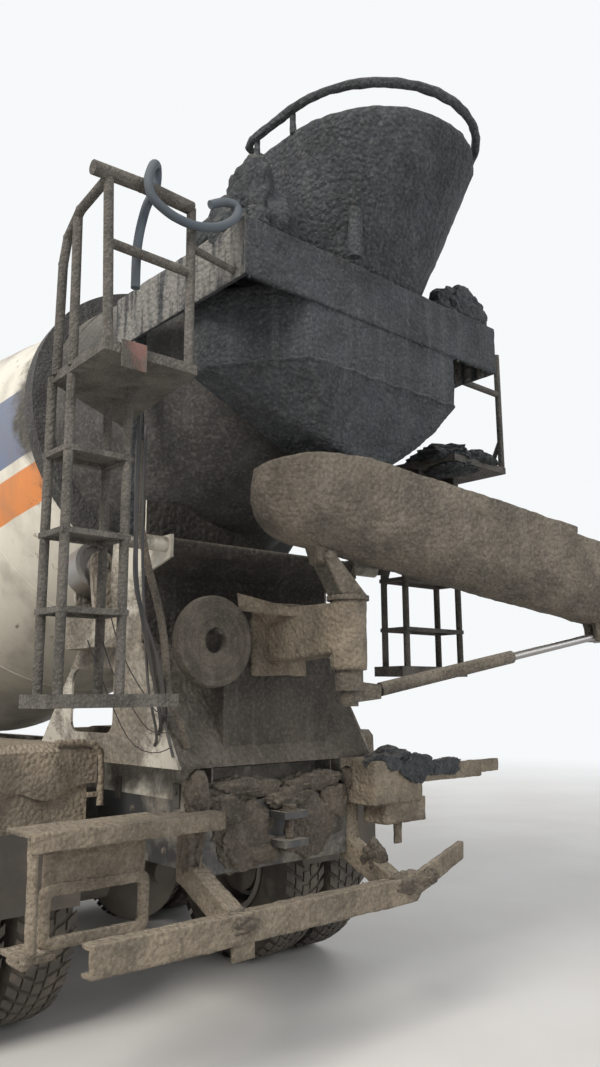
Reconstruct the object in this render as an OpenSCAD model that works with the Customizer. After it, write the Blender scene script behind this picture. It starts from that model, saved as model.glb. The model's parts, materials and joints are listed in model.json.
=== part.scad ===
// Concrete mixer truck, three axles, with the discharge chute swung out to the right.
// Millimetres. +X is forward, +Y is the truck's left, +Z is up, the ground is at z = 0.
// Inside the modules x is counted from the rear face of the underrun bar, and placed() moves
// every piece so that the middle of the whole truck's box lies over the origin.

/* [Chassis] */
// Distance from the front axle to the first rear axle
wheelbase = 4000; // [3800:50:4300]
// Distance between the two rear axles
bogie_spread = 1350; // [1300:10:1450]
// Distance from the underrun bar's rear face to the last axle
rear_overhang = 1545; // [1450:5:1650]
// Distance from the front axle to the front of the bumper
front_overhang = 1500; // [1450:10:1600]
// Outside width of the two frame rails
frame_w = 850; // [800:10:900]
// Height of a frame rail
rail_h = 280; // [240:10:300]
// Width of a frame rail's flange
rail_flange = 85; // [70:5:95]
// Thickness of a frame rail's web and flanges
rail_t = 12; // [8:1:16]
// Height of the rail's top above the ground
frame_top = 1060; // [1040:5:1080]
// Height of the subframe that carries the drum
subframe_h = 150; // [120:5:160]
// Distance from the underrun bar's rear face to the rear end of the rails
frame_rear_x = 350; // [320:5:380]

/* [Wheels] */
// Radius of a tyre
tyre_r = 545; // [520:5:550]
// Width of a tyre
tyre_w = 290; // [260:5:295]
// Radius of the rim's seat under the tyre
rim_r = 262; // [250:2:275]
// Gap between the two tyres of a twin wheel
twin_gap = 44; // [30:2:60]
// Distance from the middle of the truck to the middle of a twin wheel
twin_y = 930; // [910:5:945]
// Distance from the middle of the truck to the middle of a front wheel
front_wheel_y = 1020; // [1010:5:1040]
// Distance from the middle of the truck to a kingpin
kingpin_y = 860; // [850:2:870]

/* [Drum] */
// Tilt of the drum's axis
drum_tilt = 12; // [11:0.5:13]
// Height of the middle of the drum's mouth
mouth_z = 3150; // [3120:5:3200]
// Distance from the underrun bar's rear face to the drum's mouth
mouth_x = 170; // [150:5:220]
// Inside radius of the drum's mouth
mouth_r = 545; // [500:5:560]
// Largest radius of the drum
drum_r = 1150; // [1100:5:1160]
// Length of the drum's rear cone
rear_cone_l = 2300; // [2200:10:2400]
// Length of the drum's cylinder on the usual wheelbase
drum_cyl_l = 1350; // [1250:10:1450]
// Length of the drum's front cone
front_cone_l = 1300; // [1200:10:1400]
// Thickness of the drum's shell
drum_t = 8; // [5:1:14]
// Distance from the mouth to the middle of the track ring
track_s = 1050; // [1000:10:1150]
// Width of the track ring
track_w = 90; // [70:5:110]
// Radius of the track ring's running face
track_r = 905; // [890:5:930]
// Radius of a support roller
roller_r = 125; // [110:5:140]
// Angle of a support roller from the bottom of the ring
roller_angle = 36; // [32:1:40]

/* [Hopper] */
// Height of the ring pipe over the charging hopper's rim
ring_rise = 100; // [60:5:140]
// Half width of the ring pipe at its middle
ring_half_w = 475; // [465:5:495]
// Distance that the ring pipe reaches behind the underrun bar
ring_rear = 790; // [760:5:820]
// Radius of the ring pipe
ring_pipe_r = 15; // [12:1:20]
// Height of the rim of the hopper's sheet
hopper_rim_z = 3840; // [3800:10:3880]
// Thickness of the hopper's sheet
hopper_t = 8; // [6:1:14]
// Height of the band around the top of the collector
band_h = 230; // [200:5:250]
// Height of the band's lower edge
band_z = 3060; // [3040:5:3100]
// Half width of the band
band_half_w = 780; // [740:5:800]
// Distance that the band reaches behind the underrun bar
band_rear = 390; // [370:5:420]
// Length of the band
band_l = 950; // [900:10:1000]
// Thickness of the band's plates
band_t = 10; // [8:1:16]

/* [Chute] */
// Distance of the chute's swivel post behind the underrun bar
post_back = 120; // [100:5:140]
// Radius of the swivel post
post_r = 38; // [34:1:42]
// Height of the seat that the swivel disc turns on
swivel_z = 1905; // [1880:5:1930]
// Angle of the chute from straight back towards the right
chute_swing = 76; // [70:1:80]
// Slope of the chute
chute_slope = 9.5; // [8:0.5:11]
// Radius of the chute's round bottom
chute_r = 208; // [200:2:215]
// Height of the chute's straight side walls
chute_side = 175; // [150:5:190]
// Thickness of the chute's sheet
chute_t = 6; // [5:1:10]
// Distance from the post to the chute's open end
chute_reach = 1950; // [1800:10:2050]

/* [Cab] */
// Length of the cab
cab_l = 2110; // [2050:10:2200]
// Width of the cab
cab_w = 2400; // [2300:10:2440]
// Height of the cab's roof above the ground
cab_top = 2960; // [2900:10:3050]
// Thickness of the cab's walls and doors
cab_t = 55; // [45:5:65]
// Thickness of the window glass
glass_t = 6; // [5:1:10]
// Gap around a door
door_gap = 9; // [8:1:12]

/* [Ladders] */
// Outside radius of the ladders' pipes
pipe_r = 17; // [14:1:20]
// Width of a ladder step
step_w = 225; // [200:5:260]
// Height of the standing platform's top
platform_z = 2640; // [2600:5:2680]
// Length of the standing platform at its outer edge
platform_l = 400; // [360:10:440]

/* [Hoses] */
// Outside diameter of the water hoses
hose_d = 34; // [30:1:40]
// Radius of the hung coil at the middle of its turns
coil_r = 165; // [150:5:180]

/* [Hidden] */
$fn = 48;

// Colours
c_cream = [0.87, 0.84, 0.76];
c_crust = [0.60, 0.55, 0.48];
c_dark = [0.28, 0.30, 0.33];
c_steel = [0.35, 0.34, 0.33];
c_black = [0.10, 0.10, 0.11];
c_rubber = [0.13, 0.13, 0.13];
c_rim = [0.55, 0.53, 0.50];
c_glass = [0.55, 0.65, 0.70, 0.4];
c_hose = [0.30, 0.36, 0.40];

// Clearances
gap = 0.3;        // faces of two bodies that nearly touch
run = 0.08;       // shaft in its bearing, on the radius
eps = 1;          // how far a cut runs past a face

// Places along the truck
rear2_x = rear_overhang;
rear1_x = rear2_x + bogie_spread;
front_x = rear1_x + wheelbase;
nose_x = front_x + front_overhang;
cab_front_x = nose_x - 100;
cab_rear_x = cab_front_x - cab_l;
post_x = -post_back;
chute_dir = 180 + chute_swing;
tail_x = -ring_rear - ring_pipe_r;
chute_drop = 35;
tail_y = (chute_reach + (chute_r + chute_side - chute_drop) * sin(chute_slope)) * sin(chute_dir)
    - chute_r * cos(chute_swing);
mirror_y = cab_w / 2 + 230;
mid_x = (nose_x + tail_x) / 2;
mid_y = (mirror_y + tail_y) / 2;

// Heights
rail_z = frame_top - rail_h;
sub_top = frame_top + subframe_h;

ring_z = hopper_rim_z + ring_rise;

// Drum axis; the cylinder takes up what the wheelbase gains over the usual one
usual_wheelbase = 4000;
cyl_l = drum_cyl_l + (wheelbase - usual_wheelbase) / cos(drum_tilt);
drum_l = rear_cone_l + cyl_l + front_cone_l;
drum_end_x = mouth_x + drum_l * cos(drum_tilt);
drum_end_z = mouth_z - drum_l * sin(drum_tilt);
function cone_r(s) = mouth_r + drum_t + (drum_r - mouth_r - drum_t) * s / rear_cone_l;

module placed() {
    translate([-mid_x, -mid_y, 0]) children();
}

// Moves children from the drum's own frame, z along its axis from the mouth, into the truck.
module on_drum() {
    translate([mouth_x, 0, mouth_z]) rotate([0, 90 + drum_tilt, 0]) children();
}

// A box between two corners.
module block(lo, hi) {
    translate(lo) cube(hi - lo);
}

// A round bar between two points.
module bar(a, b, r, sides = 24) {
    v = b - a;
    l = norm(v);
    translate(a)
        rotate([0, acos(v[2] / l), atan2(v[1], v[0])])
            cylinder(h = l, r = r, $fn = sides);
}

// A pipe along a list of points, with a slightly larger ball at each bend.
module pipe(points, r) {
    for (i = [0 : len(points) - 2]) bar(points[i], points[i + 1], r);
    for (i = [1 : len(points) - 2]) translate(points[i]) sphere(r = r + 1.3, $fn = 20);
}

// A profile in the x-z plane, extruded along y from y0 to y1.
module side_slab(points, y0, y1) {
    translate([0, y1, 0]) rotate([90, 0, 0]) linear_extrude(y1 - y0) polygon(points);
}

// A profile in the y-z plane, extruded along x from x0 to x1.
module cross_slab(points, x0, x1) {
    translate([x0, 0, 0])
        rotate([90, 0, 90])
            linear_extrude(x1 - x0) polygon(points);
}

// Points of a rectangle with round corners, from the lower left to the upper right corner.
function round_rect(x0, y0, x1, y1, r, n = 6) = [
    for (c = [[x1 - r, y1 - r, 0], [x0 + r, y1 - r, 90], [x0 + r, y0 + r, 180], [x1 - r, y0 + r, 270]])
        for (i = [0 : n]) [c[0] + r * cos(c[2] + 90 * i / n), c[1] + r * sin(c[2] + 90 * i / n)]
];

// Points of an arc.
function arc(cx, cy, r, a0, a1, n = 12) =
    [for (i = [0 : n]) [cx + r * cos(a0 + (a1 - a0) * i / n), cy + r * sin(a0 + (a1 - a0) * i / n)]];

module both_sides() {
    children();
    mirror([0, 1, 0]) children();
}

// Chassis

member_xs = [frame_rear_x + 6, rear2_x + 60, rear1_x + 60, rear1_x + 0.275 * wheelbase, front_x + 850];

module frame_rail() {
    y1 = frame_w / 2;
    cross_slab([
        [y1 - rail_flange, rail_z], [y1, rail_z], [y1, frame_top], [y1 - rail_flange, frame_top],
        [y1 - rail_flange, frame_top - rail_t], [y1 - rail_t, frame_top - rail_t],
        [y1 - rail_t, rail_z + rail_t], [y1 - rail_flange, rail_z + rail_t]
    ], frame_rear_x, nose_x - 260);
}

module chassis_frame() {
    tow_x = frame_rear_x - 60;
    tow_z = rail_z + 150;
    placed() color(c_steel) {
        both_sides() frame_rail();
        for (x = member_xs)
            difference() {
                block([x, -frame_w / 2 + rail_t - eps, rail_z + 25],
                      [x + 90, frame_w / 2 - rail_t + eps, frame_top - 25]);
                block([x + 10, -frame_w / 2 + rail_t + 8, rail_z + 37],
                      [x + 90 + eps, frame_w / 2 - rail_t - 8, frame_top - 37]);
            }
        // Brackets at the front that carry the cab's tilt pins
        both_sides()
            difference() {
                side_slab([[nose_x - 400, frame_top - 120], [pivot_x + 10, frame_top - 120],
                           [pivot_x + 38, pivot_z], [pivot_x, pivot_z + 38], [nose_x - 400, frame_top]],
                          frame_w / 2 - rail_flange, frame_w / 2 - 40);
                translate([pivot_x, frame_w / 2, pivot_z]) rotate([90, 0, 0])
                    cylinder(h = 100, r = pin_r + run);
            }
        difference() {
            union() {
                block([frame_rear_x - 12, -frame_w / 2, rail_z - 10],
                      [frame_rear_x, frame_w / 2, frame_top - 5]);
                block([tow_x - 70, -70, tow_z + 45], [frame_rear_x - 11, 70, tow_z + 75]);
                block([tow_x - 70, -70, tow_z - 75], [frame_rear_x - 11, 70, tow_z - 45]);
            }
            translate([tow_x - 20, 0, tow_z - 100]) cylinder(h = 200, r = tow_r);
        }
    }
}
tow_r = 20;
pin_r = 22;

module subframe() {
    y1 = frame_w / 2 - 2;
    tube_w = 75;
    placed() color(c_cream) {
        both_sides()
            difference() {
                block([frame_rear_x + 20, y1 - tube_w, frame_top], [drum_end_x + 650, y1, sub_top]);
                block([frame_rear_x + 10, y1 - tube_w + 7, frame_top + 7],
                      [drum_end_x + 660, y1 - 7, sub_top - 7]);
            }
        for (x = [frame_rear_x + 120, rear1_x - 600, rear1_x + 700, drum_end_x - 900, drum_end_x + 300])
            block([x, -y1 + tube_w - eps, frame_top + 20], [x + 80, y1 - tube_w + eps, sub_top - 20]);
    }
}

// Axles and springs

hub_z = tyre_r;
spring_y = frame_w / 2 - 40;
axle_r = 62;
axle_pad_z = hub_z + 85;

module front_axle() {
    beam_z = hub_z - 40;
    placed() color(c_steel) translate([front_x, 0, 0]) {
        cross_slab([
            [-kingpin_y + 60, beam_z - 12], [-spring_y - 90, beam_z - 90], [spring_y + 90, beam_z - 90],
            [kingpin_y - 60, beam_z - 12], [kingpin_y - 60, beam_z + 55], [spring_y + 90, beam_z + 25],
            [-spring_y - 90, beam_z + 25], [-kingpin_y + 60, beam_z + 55]
        ], -45, 45);
        both_sides() {
            difference() {
                translate([0, kingpin_y, hub_z - 62]) cylinder(h = 124, r = 62);
                translate([0, kingpin_y, hub_z - 70]) cylinder(h = 140, r = kingpin_r + run);
            }
            block([-55, spring_y - 50, beam_z + 20], [55, spring_y + 50, beam_z + 45]);
        }
    }
}
kingpin_r = 24;

// One leaf pack, its leaves stepping down in length, arched between its two eyes.
module leaf_pack(half_l, z_axle, n, up) {
    leaf_t = 20;
    for (i = [0 : n - 1]) {
        l = half_l * (1 - 0.13 * i);
        z = z_axle + (up ? -1 : 1) * i * leaf_t;
        block([-l, -40, z], [l, 40, z + leaf_t + 0.01]);
    }
}

module leaf_springs() {
    front_seat = hub_z + 5;
    placed() color(c_black) {
        both_sides() {
            translate([front_x, spring_y, 0]) {
                block([-55, -40, front_seat], [55, 40, front_seat + 40]);
                leaf_pack(780, front_seat + 120, 5, true);
                for (x = [-760, 720]) block([x, -40, front_seat + 135], [x + 40, 40, rail_z]);
            }
            translate([rear1_x - bogie_spread / 2, spring_y + 130, 0]) {
                leaf_pack(bogie_spread / 2 + 60, axle_pad_z + gap, 6, false);
                block([-120, frame_w / 2 + gap - spring_y - 130, 480], [120, -40, rail_z + 100]);
                block([-70, -50, 480], [70, 55, axle_pad_z + gap + 0.01]);
            }
        }
    }
}

module rear_axle_at(x) {
    translate([x, 0, hub_z]) {
        rotate([90, 0, 0]) translate([0, 0, -twin_y + 190]) cylinder(h = 2 * twin_y - 380, r = axle_r + 14);
        sphere(r = 215);
        both_sides() {
            translate([0, twin_y - 200, 0]) rotate([90, 0, 0]) cylinder(h = 30, r = 175);
            translate([0, twin_y + 60, 0]) rotate([90, 0, 0]) cylinder(h = 262, r = stub_r);
            block([-90, spring_y + 80, 60], [90, spring_y + 180, axle_pad_z - hub_z]);
        }
        translate([-60, 0, 60]) rotate([0, 90, 0]) cylinder(h = 320, r = 80);
        translate([-280, 0, 60]) rotate([0, 90, 0]) cylinder(h = 320, r = 60);
    }
}
stub_r = 45;

module rear_axles() {
    placed() color(c_steel) {
        rear_axle_at(rear1_x);
        rear_axle_at(rear2_x);
    }
}

module knuckle(side) {
    y = kingpin_y;
    translate([front_x, 0, 0]) mirror([0, side < 0 ? 1 : 0, 0]) {
        translate([0, y, hub_z - 105]) cylinder(h = 210, r = kingpin_r);
        for (z = [hub_z - 105, hub_z + 62 + gap])
            block([-60, y - 50, z], [60, y + 100, z + 43 - gap]);
        block([-60, y + 66, hub_z - 105], [60, y + 100, hub_z + 105]);
        translate([0, y + 66, hub_z]) rotate([-90, 0, 0]) cylinder(h = front_wheel_y - y - 11, r = stub_r);
        block([-240, y - 30, hub_z - 105], [-50, y + 20, hub_z - 75]);
    }
}
module knuckle_left() { placed() color(c_steel) knuckle(1); }
module knuckle_right() { placed() color(c_steel) knuckle(-1); }

// Wheels, drawn with the axle along z and the outer side at +z

shoulder_r = 42;
bead_w = 0.74;

module tyre_ring() {
    hw = tyre_w / 2;
    bead = hw * bead_w;
    rotate_extrude($fn = 64)
        polygon(concat(
            [[rim_r + 6, -bead + 6], [rim_r + 18, -bead + 6], [rim_r + 60, -hw + 4]],
            arc(tyre_r - shoulder_r, -hw + shoulder_r, shoulder_r, 270, 360, 3),
            arc(tyre_r - shoulder_r, hw - shoulder_r, shoulder_r, 0, 90, 3),
            [[rim_r + 60, hw - 4], [rim_r + 18, bead - 6], [rim_r + 6, bead - 6], [rim_r + 6, bead - 30],
             [rim_r + 40, bead - 40], [rim_r + 40, -bead + 40], [rim_r + 6, -bead + 30]]
        ));
}

// Rim barrel with its flanges, and a dished disc from the barrel at z = root to the hub at z = dish.
module rim_ring(root, dish) {
    hw = tyre_w / 2 * bead_w;
    inner_r = rim_r - 14;
    disc_t = 16;
    rotate_extrude($fn = 64)
        polygon([
            [inner_r, -hw - 12], [rim_r + 16, -hw - 12], [rim_r + 16, -hw - 2], [rim_r + 5.5, -hw + 2],
            [rim_r + 5.5, hw - 2], [rim_r + 16, hw + 2], [rim_r + 16, hw + 12], [inner_r, hw + 12]
        ]);
    difference() {
        rotate_extrude($fn = 64)
            polygon([
                [60, dish], [190, dish], [inner_r + 4, root], [inner_r + 4, root + disc_t],
                [195, dish + disc_t], [60, dish + disc_t]
            ]);
        // Hand holes
        for (i = [0 : 7])
            rotate(45 * i + 22.5) translate([222, 0, min(root, dish) - 40])
                cylinder(h = 180, r = 20, $fn = 16);
    }
}

// Hub with its brake drum, from z = h0 to z = h1, and the wheel nuts on the disc at z = nut_z.
module hub(h0, h1, drum_z0, nut_z) {
    difference() {
        union() {
            translate([0, 0, h0]) cylinder(h = h1 - h0, r = 110);
            translate([0, 0, drum_z0]) cylinder(h = nut_z - 8 - drum_z0, r = 205);
        }
        translate([0, 0, min(h0, drum_z0) - eps]) cylinder(h = h1 - 30 - min(h0, drum_z0), r = stub_r + run);
        translate([0, 0, drum_z0 - eps]) cylinder(h = 35, r = 180);
    }
    for (i = [0 : 9])
        rotate(36 * i) translate([145, 0, nut_z - 1]) cylinder(h = 30, r = 14, $fn = 6);
}

module wheel_at(x, y, side) {
    translate([x, side * y, hub_z]) rotate([side > 0 ? -90 : 90, 0, 0]) children();
}

twin_off = (tyre_w + twin_gap) / 2;

module front_rim() {
    rim_ring(30, 52);
    hub(-55, 90, -50, 68);
}
module rear_rims() {
    for (s = [0, 1])
        mirror([0, 0, s])
            translate([0, 0, twin_off]) rim_ring(-tyre_w / 2 * bead_w, -twin_off);
    hub(-180, 170, -180, 16);
}
module rear_tyres() {
    for (s = [-1, 1]) translate([0, 0, s * twin_off]) tyre_ring();
}

module front_tyre_left() { placed() color(c_rubber) wheel_at(front_x, front_wheel_y, 1) tyre_ring(); }
module front_tyre_right() { placed() color(c_rubber) wheel_at(front_x, front_wheel_y, -1) tyre_ring(); }
module front_rim_left() { placed() color(c_rim) wheel_at(front_x, front_wheel_y, 1) front_rim(); }
module front_rim_right() { placed() color(c_rim) wheel_at(front_x, front_wheel_y, -1) front_rim(); }
module rear1_tyres_left() { placed() color(c_rubber) wheel_at(rear1_x, twin_y, 1) rear_tyres(); }
module rear1_tyres_right() { placed() color(c_rubber) wheel_at(rear1_x, twin_y, -1) rear_tyres(); }
module rear1_rims_left() { placed() color(c_rim) wheel_at(rear1_x, twin_y, 1) rear_rims(); }
module rear1_rims_right() { placed() color(c_rim) wheel_at(rear1_x, twin_y, -1) rear_rims(); }
module rear2_tyres_left() { placed() color(c_rubber) wheel_at(rear2_x, twin_y, 1) rear_tyres(); }
module rear2_tyres_right() { placed() color(c_rubber) wheel_at(rear2_x, twin_y, -1) rear_tyres(); }
module rear2_rims_left() { placed() color(c_rim) wheel_at(rear2_x, twin_y, 1) rear_rims(); }
module rear2_rims_right() { placed() color(c_rim) wheel_at(rear2_x, twin_y, -1) rear_rims(); }

// Engine, driveline and side boxes

engine_rear_x = front_x - 650;
gearbox_rear_x = engine_rear_x - 700 - gap;

module engine() {
    placed() color(c_black)
        block([engine_rear_x, -300, hub_z + 100], [front_x + 440, 300, cab_arch_z - 15]);
}

module driveline() {
    z0 = rail_z + 160;
    z1 = hub_z + 60;
    placed() color(c_black) {
        translate([gearbox_rear_x, 0, z0]) rotate([0, 90, 0]) cylinder(h = 700, r = 190);
        bar([rear1_x + 320, 0, z1], [gearbox_rear_x, 0, z0], 52);
        bar([rear1_x + 260 + gap, 0, z1], [rear1_x + 345, 0, z1], 58);
        bar([rear2_x + 260 + gap, 0, z1], [rear1_x - 280 - gap, 0, z1], 46);
    }
}

// Distance from the first rear axle to the tanks at the frame's sides
side_lead = 1180;

module fuel_tank() {
    x0 = rear1_x + side_lead;
    y0 = frame_w / 2 + gap;
    placed() color([0.62, 0.63, 0.64]) mirror([0, 1, 0]) {
        side_slab(round_rect(x0, 480, x0 + 1050, 1060, 90), y0 + 60, y0 + 700);
        for (x = [x0 + 150, x0 + 800]) block([x, y0, 700], [x + 60, y0 + 60 + eps, 1000]);
    }
}

module side_equipment() {
    x0 = rear1_x + side_lead;
    y0 = frame_w / 2 + gap;
    placed() color(c_steel) {
        // Battery box on the left
        side_slab(round_rect(x0, 560, x0 + 560, 1040, 30), y0, y0 + 560);
        // Air tanks ahead of it
        for (z = [640, 900]) {
            translate([x0 + 680, y0 + 330, z]) rotate([0, 90, 0]) cylinder(h = 620, r = 115);
            block([x0 + 900, y0, z - 30], [x0 + 960, y0 + 330, z + 30]);
        }
        block([x0 + 900, y0, 610], [x0 + 960, y0 + 14, 1000]);
        // Silencer on the right, ahead of the fuel tank
        mirror([0, 1, 0]) {
            translate([x0 + 1200, y0 + 330, 800]) rotate([0, 90, 0]) cylinder(h = 330, r = 210);
            block([x0 + 1280, y0, 760], [x0 + 1340, y0 + 330, 840]);
        }
    }
}

// Front bumper and cab steps

bumper_top = 960;

module front_bumper() {
    x1 = nose_x;
    placed() color(c_cream)
        difference() {
            union() {
                difference() {
                    translate([0, 0, 420])
                        linear_extrude(bumper_top - 420)
                            polygon([
                                [x1 - 330, -1210], [x1 - 170, -1210], [x1 - 30, -1080], [x1, -700],
                                [x1, 700], [x1 - 30, 1080], [x1 - 170, 1210], [x1 - 330, 1210],
                                [x1 - 330, 1170], [x1 - 190, 1170], [x1 - 70, 1050], [x1 - 40, 690],
                                [x1 - 40, -690], [x1 - 70, -1050], [x1 - 190, -1170], [x1 - 330, -1170]
                            ]);
                    block([x1 - 60, -420, 560], [x1 + eps, 420, 640]);
                }
                both_sides() {
                    block([x1 - 150, 770, 630], [x1 - 40, 1050, 830]);
                    block([x1 - 260 + gap, frame_w / 2 - rail_flange, rail_z + 10],
                          [x1 - 39, frame_w / 2, rail_z + 90]);
                }
            }
            both_sides() block([x1 - 90, 785, 645], [x1 + eps, 1045, 815]);
        }
}

module cab_steps() {
    x0 = front_x + 650;
    x1 = nose_x - 340;
    placed() color(c_steel)
        both_sides() {
            difference() {
                block([x0, 850, 440], [x1, 1200, 990]);
                block([x0 + 30, 930, 480], [x1 - 30, 1201, 700]);
                block([x0 + 30, 980, 730], [x1 - 30, 1201, 991]);
            }
            block([x0 + 150, frame_w / 2 + gap, 800], [x0 + 230, 851, 880]);
        }
}

// Drum supports

gearbox_x = drum_end_x - 40;
gearbox_foot_z = drum_end_z - 300;

module front_pedestal() {
    x0 = gearbox_x;
    placed() color(c_cream) {
        both_sides()
            side_slab([[x0 - 250, sub_top], [x0 + 600, sub_top], [x0 + 430, gearbox_foot_z],
                       [x0 + 60, gearbox_foot_z]],
                      frame_w / 2 - 60, frame_w / 2 - 48);
        for (x = [x0 + 60, x0 + 418])
            block([x, -frame_w / 2 + 48, sub_top], [x + 12, frame_w / 2 - 48, gearbox_foot_z]);
        block([x0 + 60, -frame_w / 2 + 48, gearbox_foot_z - 12],
              [x0 + 430, frame_w / 2 - 48, gearbox_foot_z]);
    }
}

module drum_gearbox() {
    x0 = gearbox_x;
    placed() color(c_steel) {
        on_drum() {
            translate([0, 0, drum_l + 22]) cylinder(h = 250, r = 235);
            translate([0, 0, drum_l + 270]) cylinder(h = 200, r = 130);
            translate([0, 0, drum_l + 460]) cylinder(h = 140, r = 85);
        }
        block([x0 + 120, -220, gearbox_foot_z + gap], [x0 + 330, 220, drum_end_z - 120]);
    }
}

roller_y = (track_r + roller_r + gap) * sin(roller_angle);
roller_drop = (track_r + roller_r + gap) * cos(roller_angle);
roller_w = 120;
roller_pin_r = 28;

// Drum frame, moved to a roller's own axis. In that frame x points down.
module at_roller(side) {
    on_drum() translate([roller_drop, side * roller_y, track_s]) children();
}

module roller(side) {
    difference() {
        at_roller(side) translate([0, 0, -roller_w / 2]) cylinder(h = roller_w, r = roller_r);
        at_roller(side) for (s = [-1, 1]) translate([0, 0, s * (roller_w / 2 + 20) - 35])
            difference() {
                cylinder(h = 70, r = roller_r - 22);
                translate([0, 0, -eps]) cylinder(h = 72, r = 52);
            }
    }
    at_roller(side) translate([0, 0, -roller_w / 2 - 45]) cylinder(h = roller_w + 90, r = roller_pin_r);
}
module roller_left() { placed() color(c_steel) roller(1); }
module roller_right() { placed() color(c_steel) roller(-1); }

ped_y = 560;
ped_rear_x = frame_rear_x + 60;
ped_top = 1900;
wall = 12;
cross_x = -band_rear + band_l - 120;
cross_z = 2165;
cross_r = 34;
ped_foot_x = 300;
ped_knee_x = 620;
ped_knee_z = 1740;
saddle_x = mouth_x + track_s * cos(drum_tilt) - (roller_drop + 200) * sin(drum_tilt);
saddle_half = 160;

module roller_bracket(side) {
    at_roller(side)
        for (s = [-1, 1])
            translate([0, 0, s * (roller_w / 2 + 24) - 12])
                difference() {
                    union() {
                        cylinder(h = 24, r = 62);
                        translate([0, -62, 0]) cube([230, 124, 24]);
                    }
                    translate([0, 0, -eps]) cylinder(h = 26, r = roller_pin_r + run);
                }
}

module rear_pedestal() {
    placed() color(c_cream) {
        both_sides() {
            // Side plate with its opening
            difference() {
                side_slab([[ped_foot_x, sub_top], [ped_foot_x + 1330, sub_top],
                           [saddle_x + 220, ped_top - 160], [saddle_x + 330, ped_top + 10],
                           [saddle_x + 230, ped_top + 60], [saddle_x - 65, ped_top + 60],
                           [saddle_x - 90, cross_z + 120], [ped_knee_x, cross_z + 40],
                           [cross_x - 50, cross_z + 40], [cross_x - 50, cross_z - 60],
                           [ped_knee_x, cross_z - 120], [ped_knee_x, ped_knee_z]],
                          ped_y, ped_y + wall);
                side_slab(round_rect(ped_foot_x + 550, sub_top + 130, ped_foot_x + 960, ped_top - 260, 60),
                          ped_y - eps, ped_y + wall + eps);
            }
            // Foot from the side plate in to the subframe
            block([ped_foot_x, frame_w / 2 - 77, sub_top], [ped_foot_x + 1330, ped_y + eps, sub_top + wall]);
            roller_bracket(1);
        }
        // Rear column of box section
        difference() {
            block([ped_rear_x - 60, -310, sub_top], [ped_rear_x + 240, 310, ped_top - 20]);
            block([ped_rear_x - 48, -298, sub_top - eps], [ped_rear_x + 228, 298, ped_top - 32]);
        }
        // Rear plate between the side plates, sloping up to the knee and on to the cross tube
        side_slab([[ped_foot_x + 2, sub_top], [ped_foot_x + 16, sub_top], [ped_knee_x + 14, ped_knee_z],
                   [ped_knee_x + 14, cross_z - 110], [cross_x - 20, cross_z], [cross_x - 34, cross_z],
                   [ped_knee_x + 2, cross_z - 112], [ped_knee_x + 2, ped_knee_z]],
                  -ped_y - eps, ped_y + eps);
        // Splash sheet above the cross tube, cut round under the drum
        difference() {
            block([ped_knee_x + 2, -110, cross_z - 130], [ped_knee_x + 10, ped_y + eps, 2400]);
            on_drum()
                cylinder(h = rear_cone_l, r1 = mouth_r + drum_t + 16, r2 = drum_r + 16, $fn = 72);
        }
        // Cross tube and saddle beam
        translate([cross_x, ped_y + 200, cross_z]) rotate([90, 0, 0])
            cylinder(h = 2 * ped_y + 400, r = cross_r);
        block([saddle_x - saddle_half, -roller_y - 75, ped_top - 170],
              [saddle_x + saddle_half, roller_y + 75, ped_top]);
        // Peg that the hose coil hangs on
        translate([ped_rear_x - 150, coil_y, coil_z + coil_hole - 12 - gap])
            rotate([0, 90, 0]) cylinder(h = ped_knee_x + 3 - ped_rear_x + 150, r = 12);
    }
}

// Fenders, lamp brackets and bumper bar

fender_z = 1290;
fender_y0 = 640;
fender_y1 = 1245;

module rear_fenders() {
    x0 = rear2_x - tyre_r - 60;
    x1 = rear1_x + tyre_r + 60;
    t = 8;
    outer = concat(
        [[x1, 900]], arc(x1 - 220, fender_z - 220, 220, 0, 90, 6),
        arc(x0 + 220, fender_z - 220, 220, 90, 180, 6), [[x0, 900]]);
    inner = concat(
        [[x0 + t, 900]], arc(x0 + 220, fender_z - 220, 220 - t, 180, 90, 6),
        arc(x1 - 220, fender_z - 220, 220 - t, 90, 0, 6), [[x1 - t, 900]]);
    placed() color(c_crust)
        both_sides() {
            side_slab(concat(outer, inner), fender_y0, fender_y1);
            // Pipe along the outer edge
            for (x = [x0 + 10, x1 - 10])
                bar([x, fender_y1 - 14, 900], [x, fender_y1 - 14, fender_z - 225], 14);
            for (x = [rear2_x + 100, x1 - 300])
                block([x, frame_w / 2 + gap, fender_z - 60], [x + 50, fender_y0 + 40, fender_z - t + 1]);
            for (x = [rear2_x + 100, x1 - 300])
                block([x, frame_w / 2 + gap, frame_top - 160], [x + 50, frame_w / 2 + 20, fender_z - 59]);
        }
}

shelf_z = 1040;
bar_z = 590;
bar_h = 100;
bar_half = 1100;
arm_y = 420;

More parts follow.
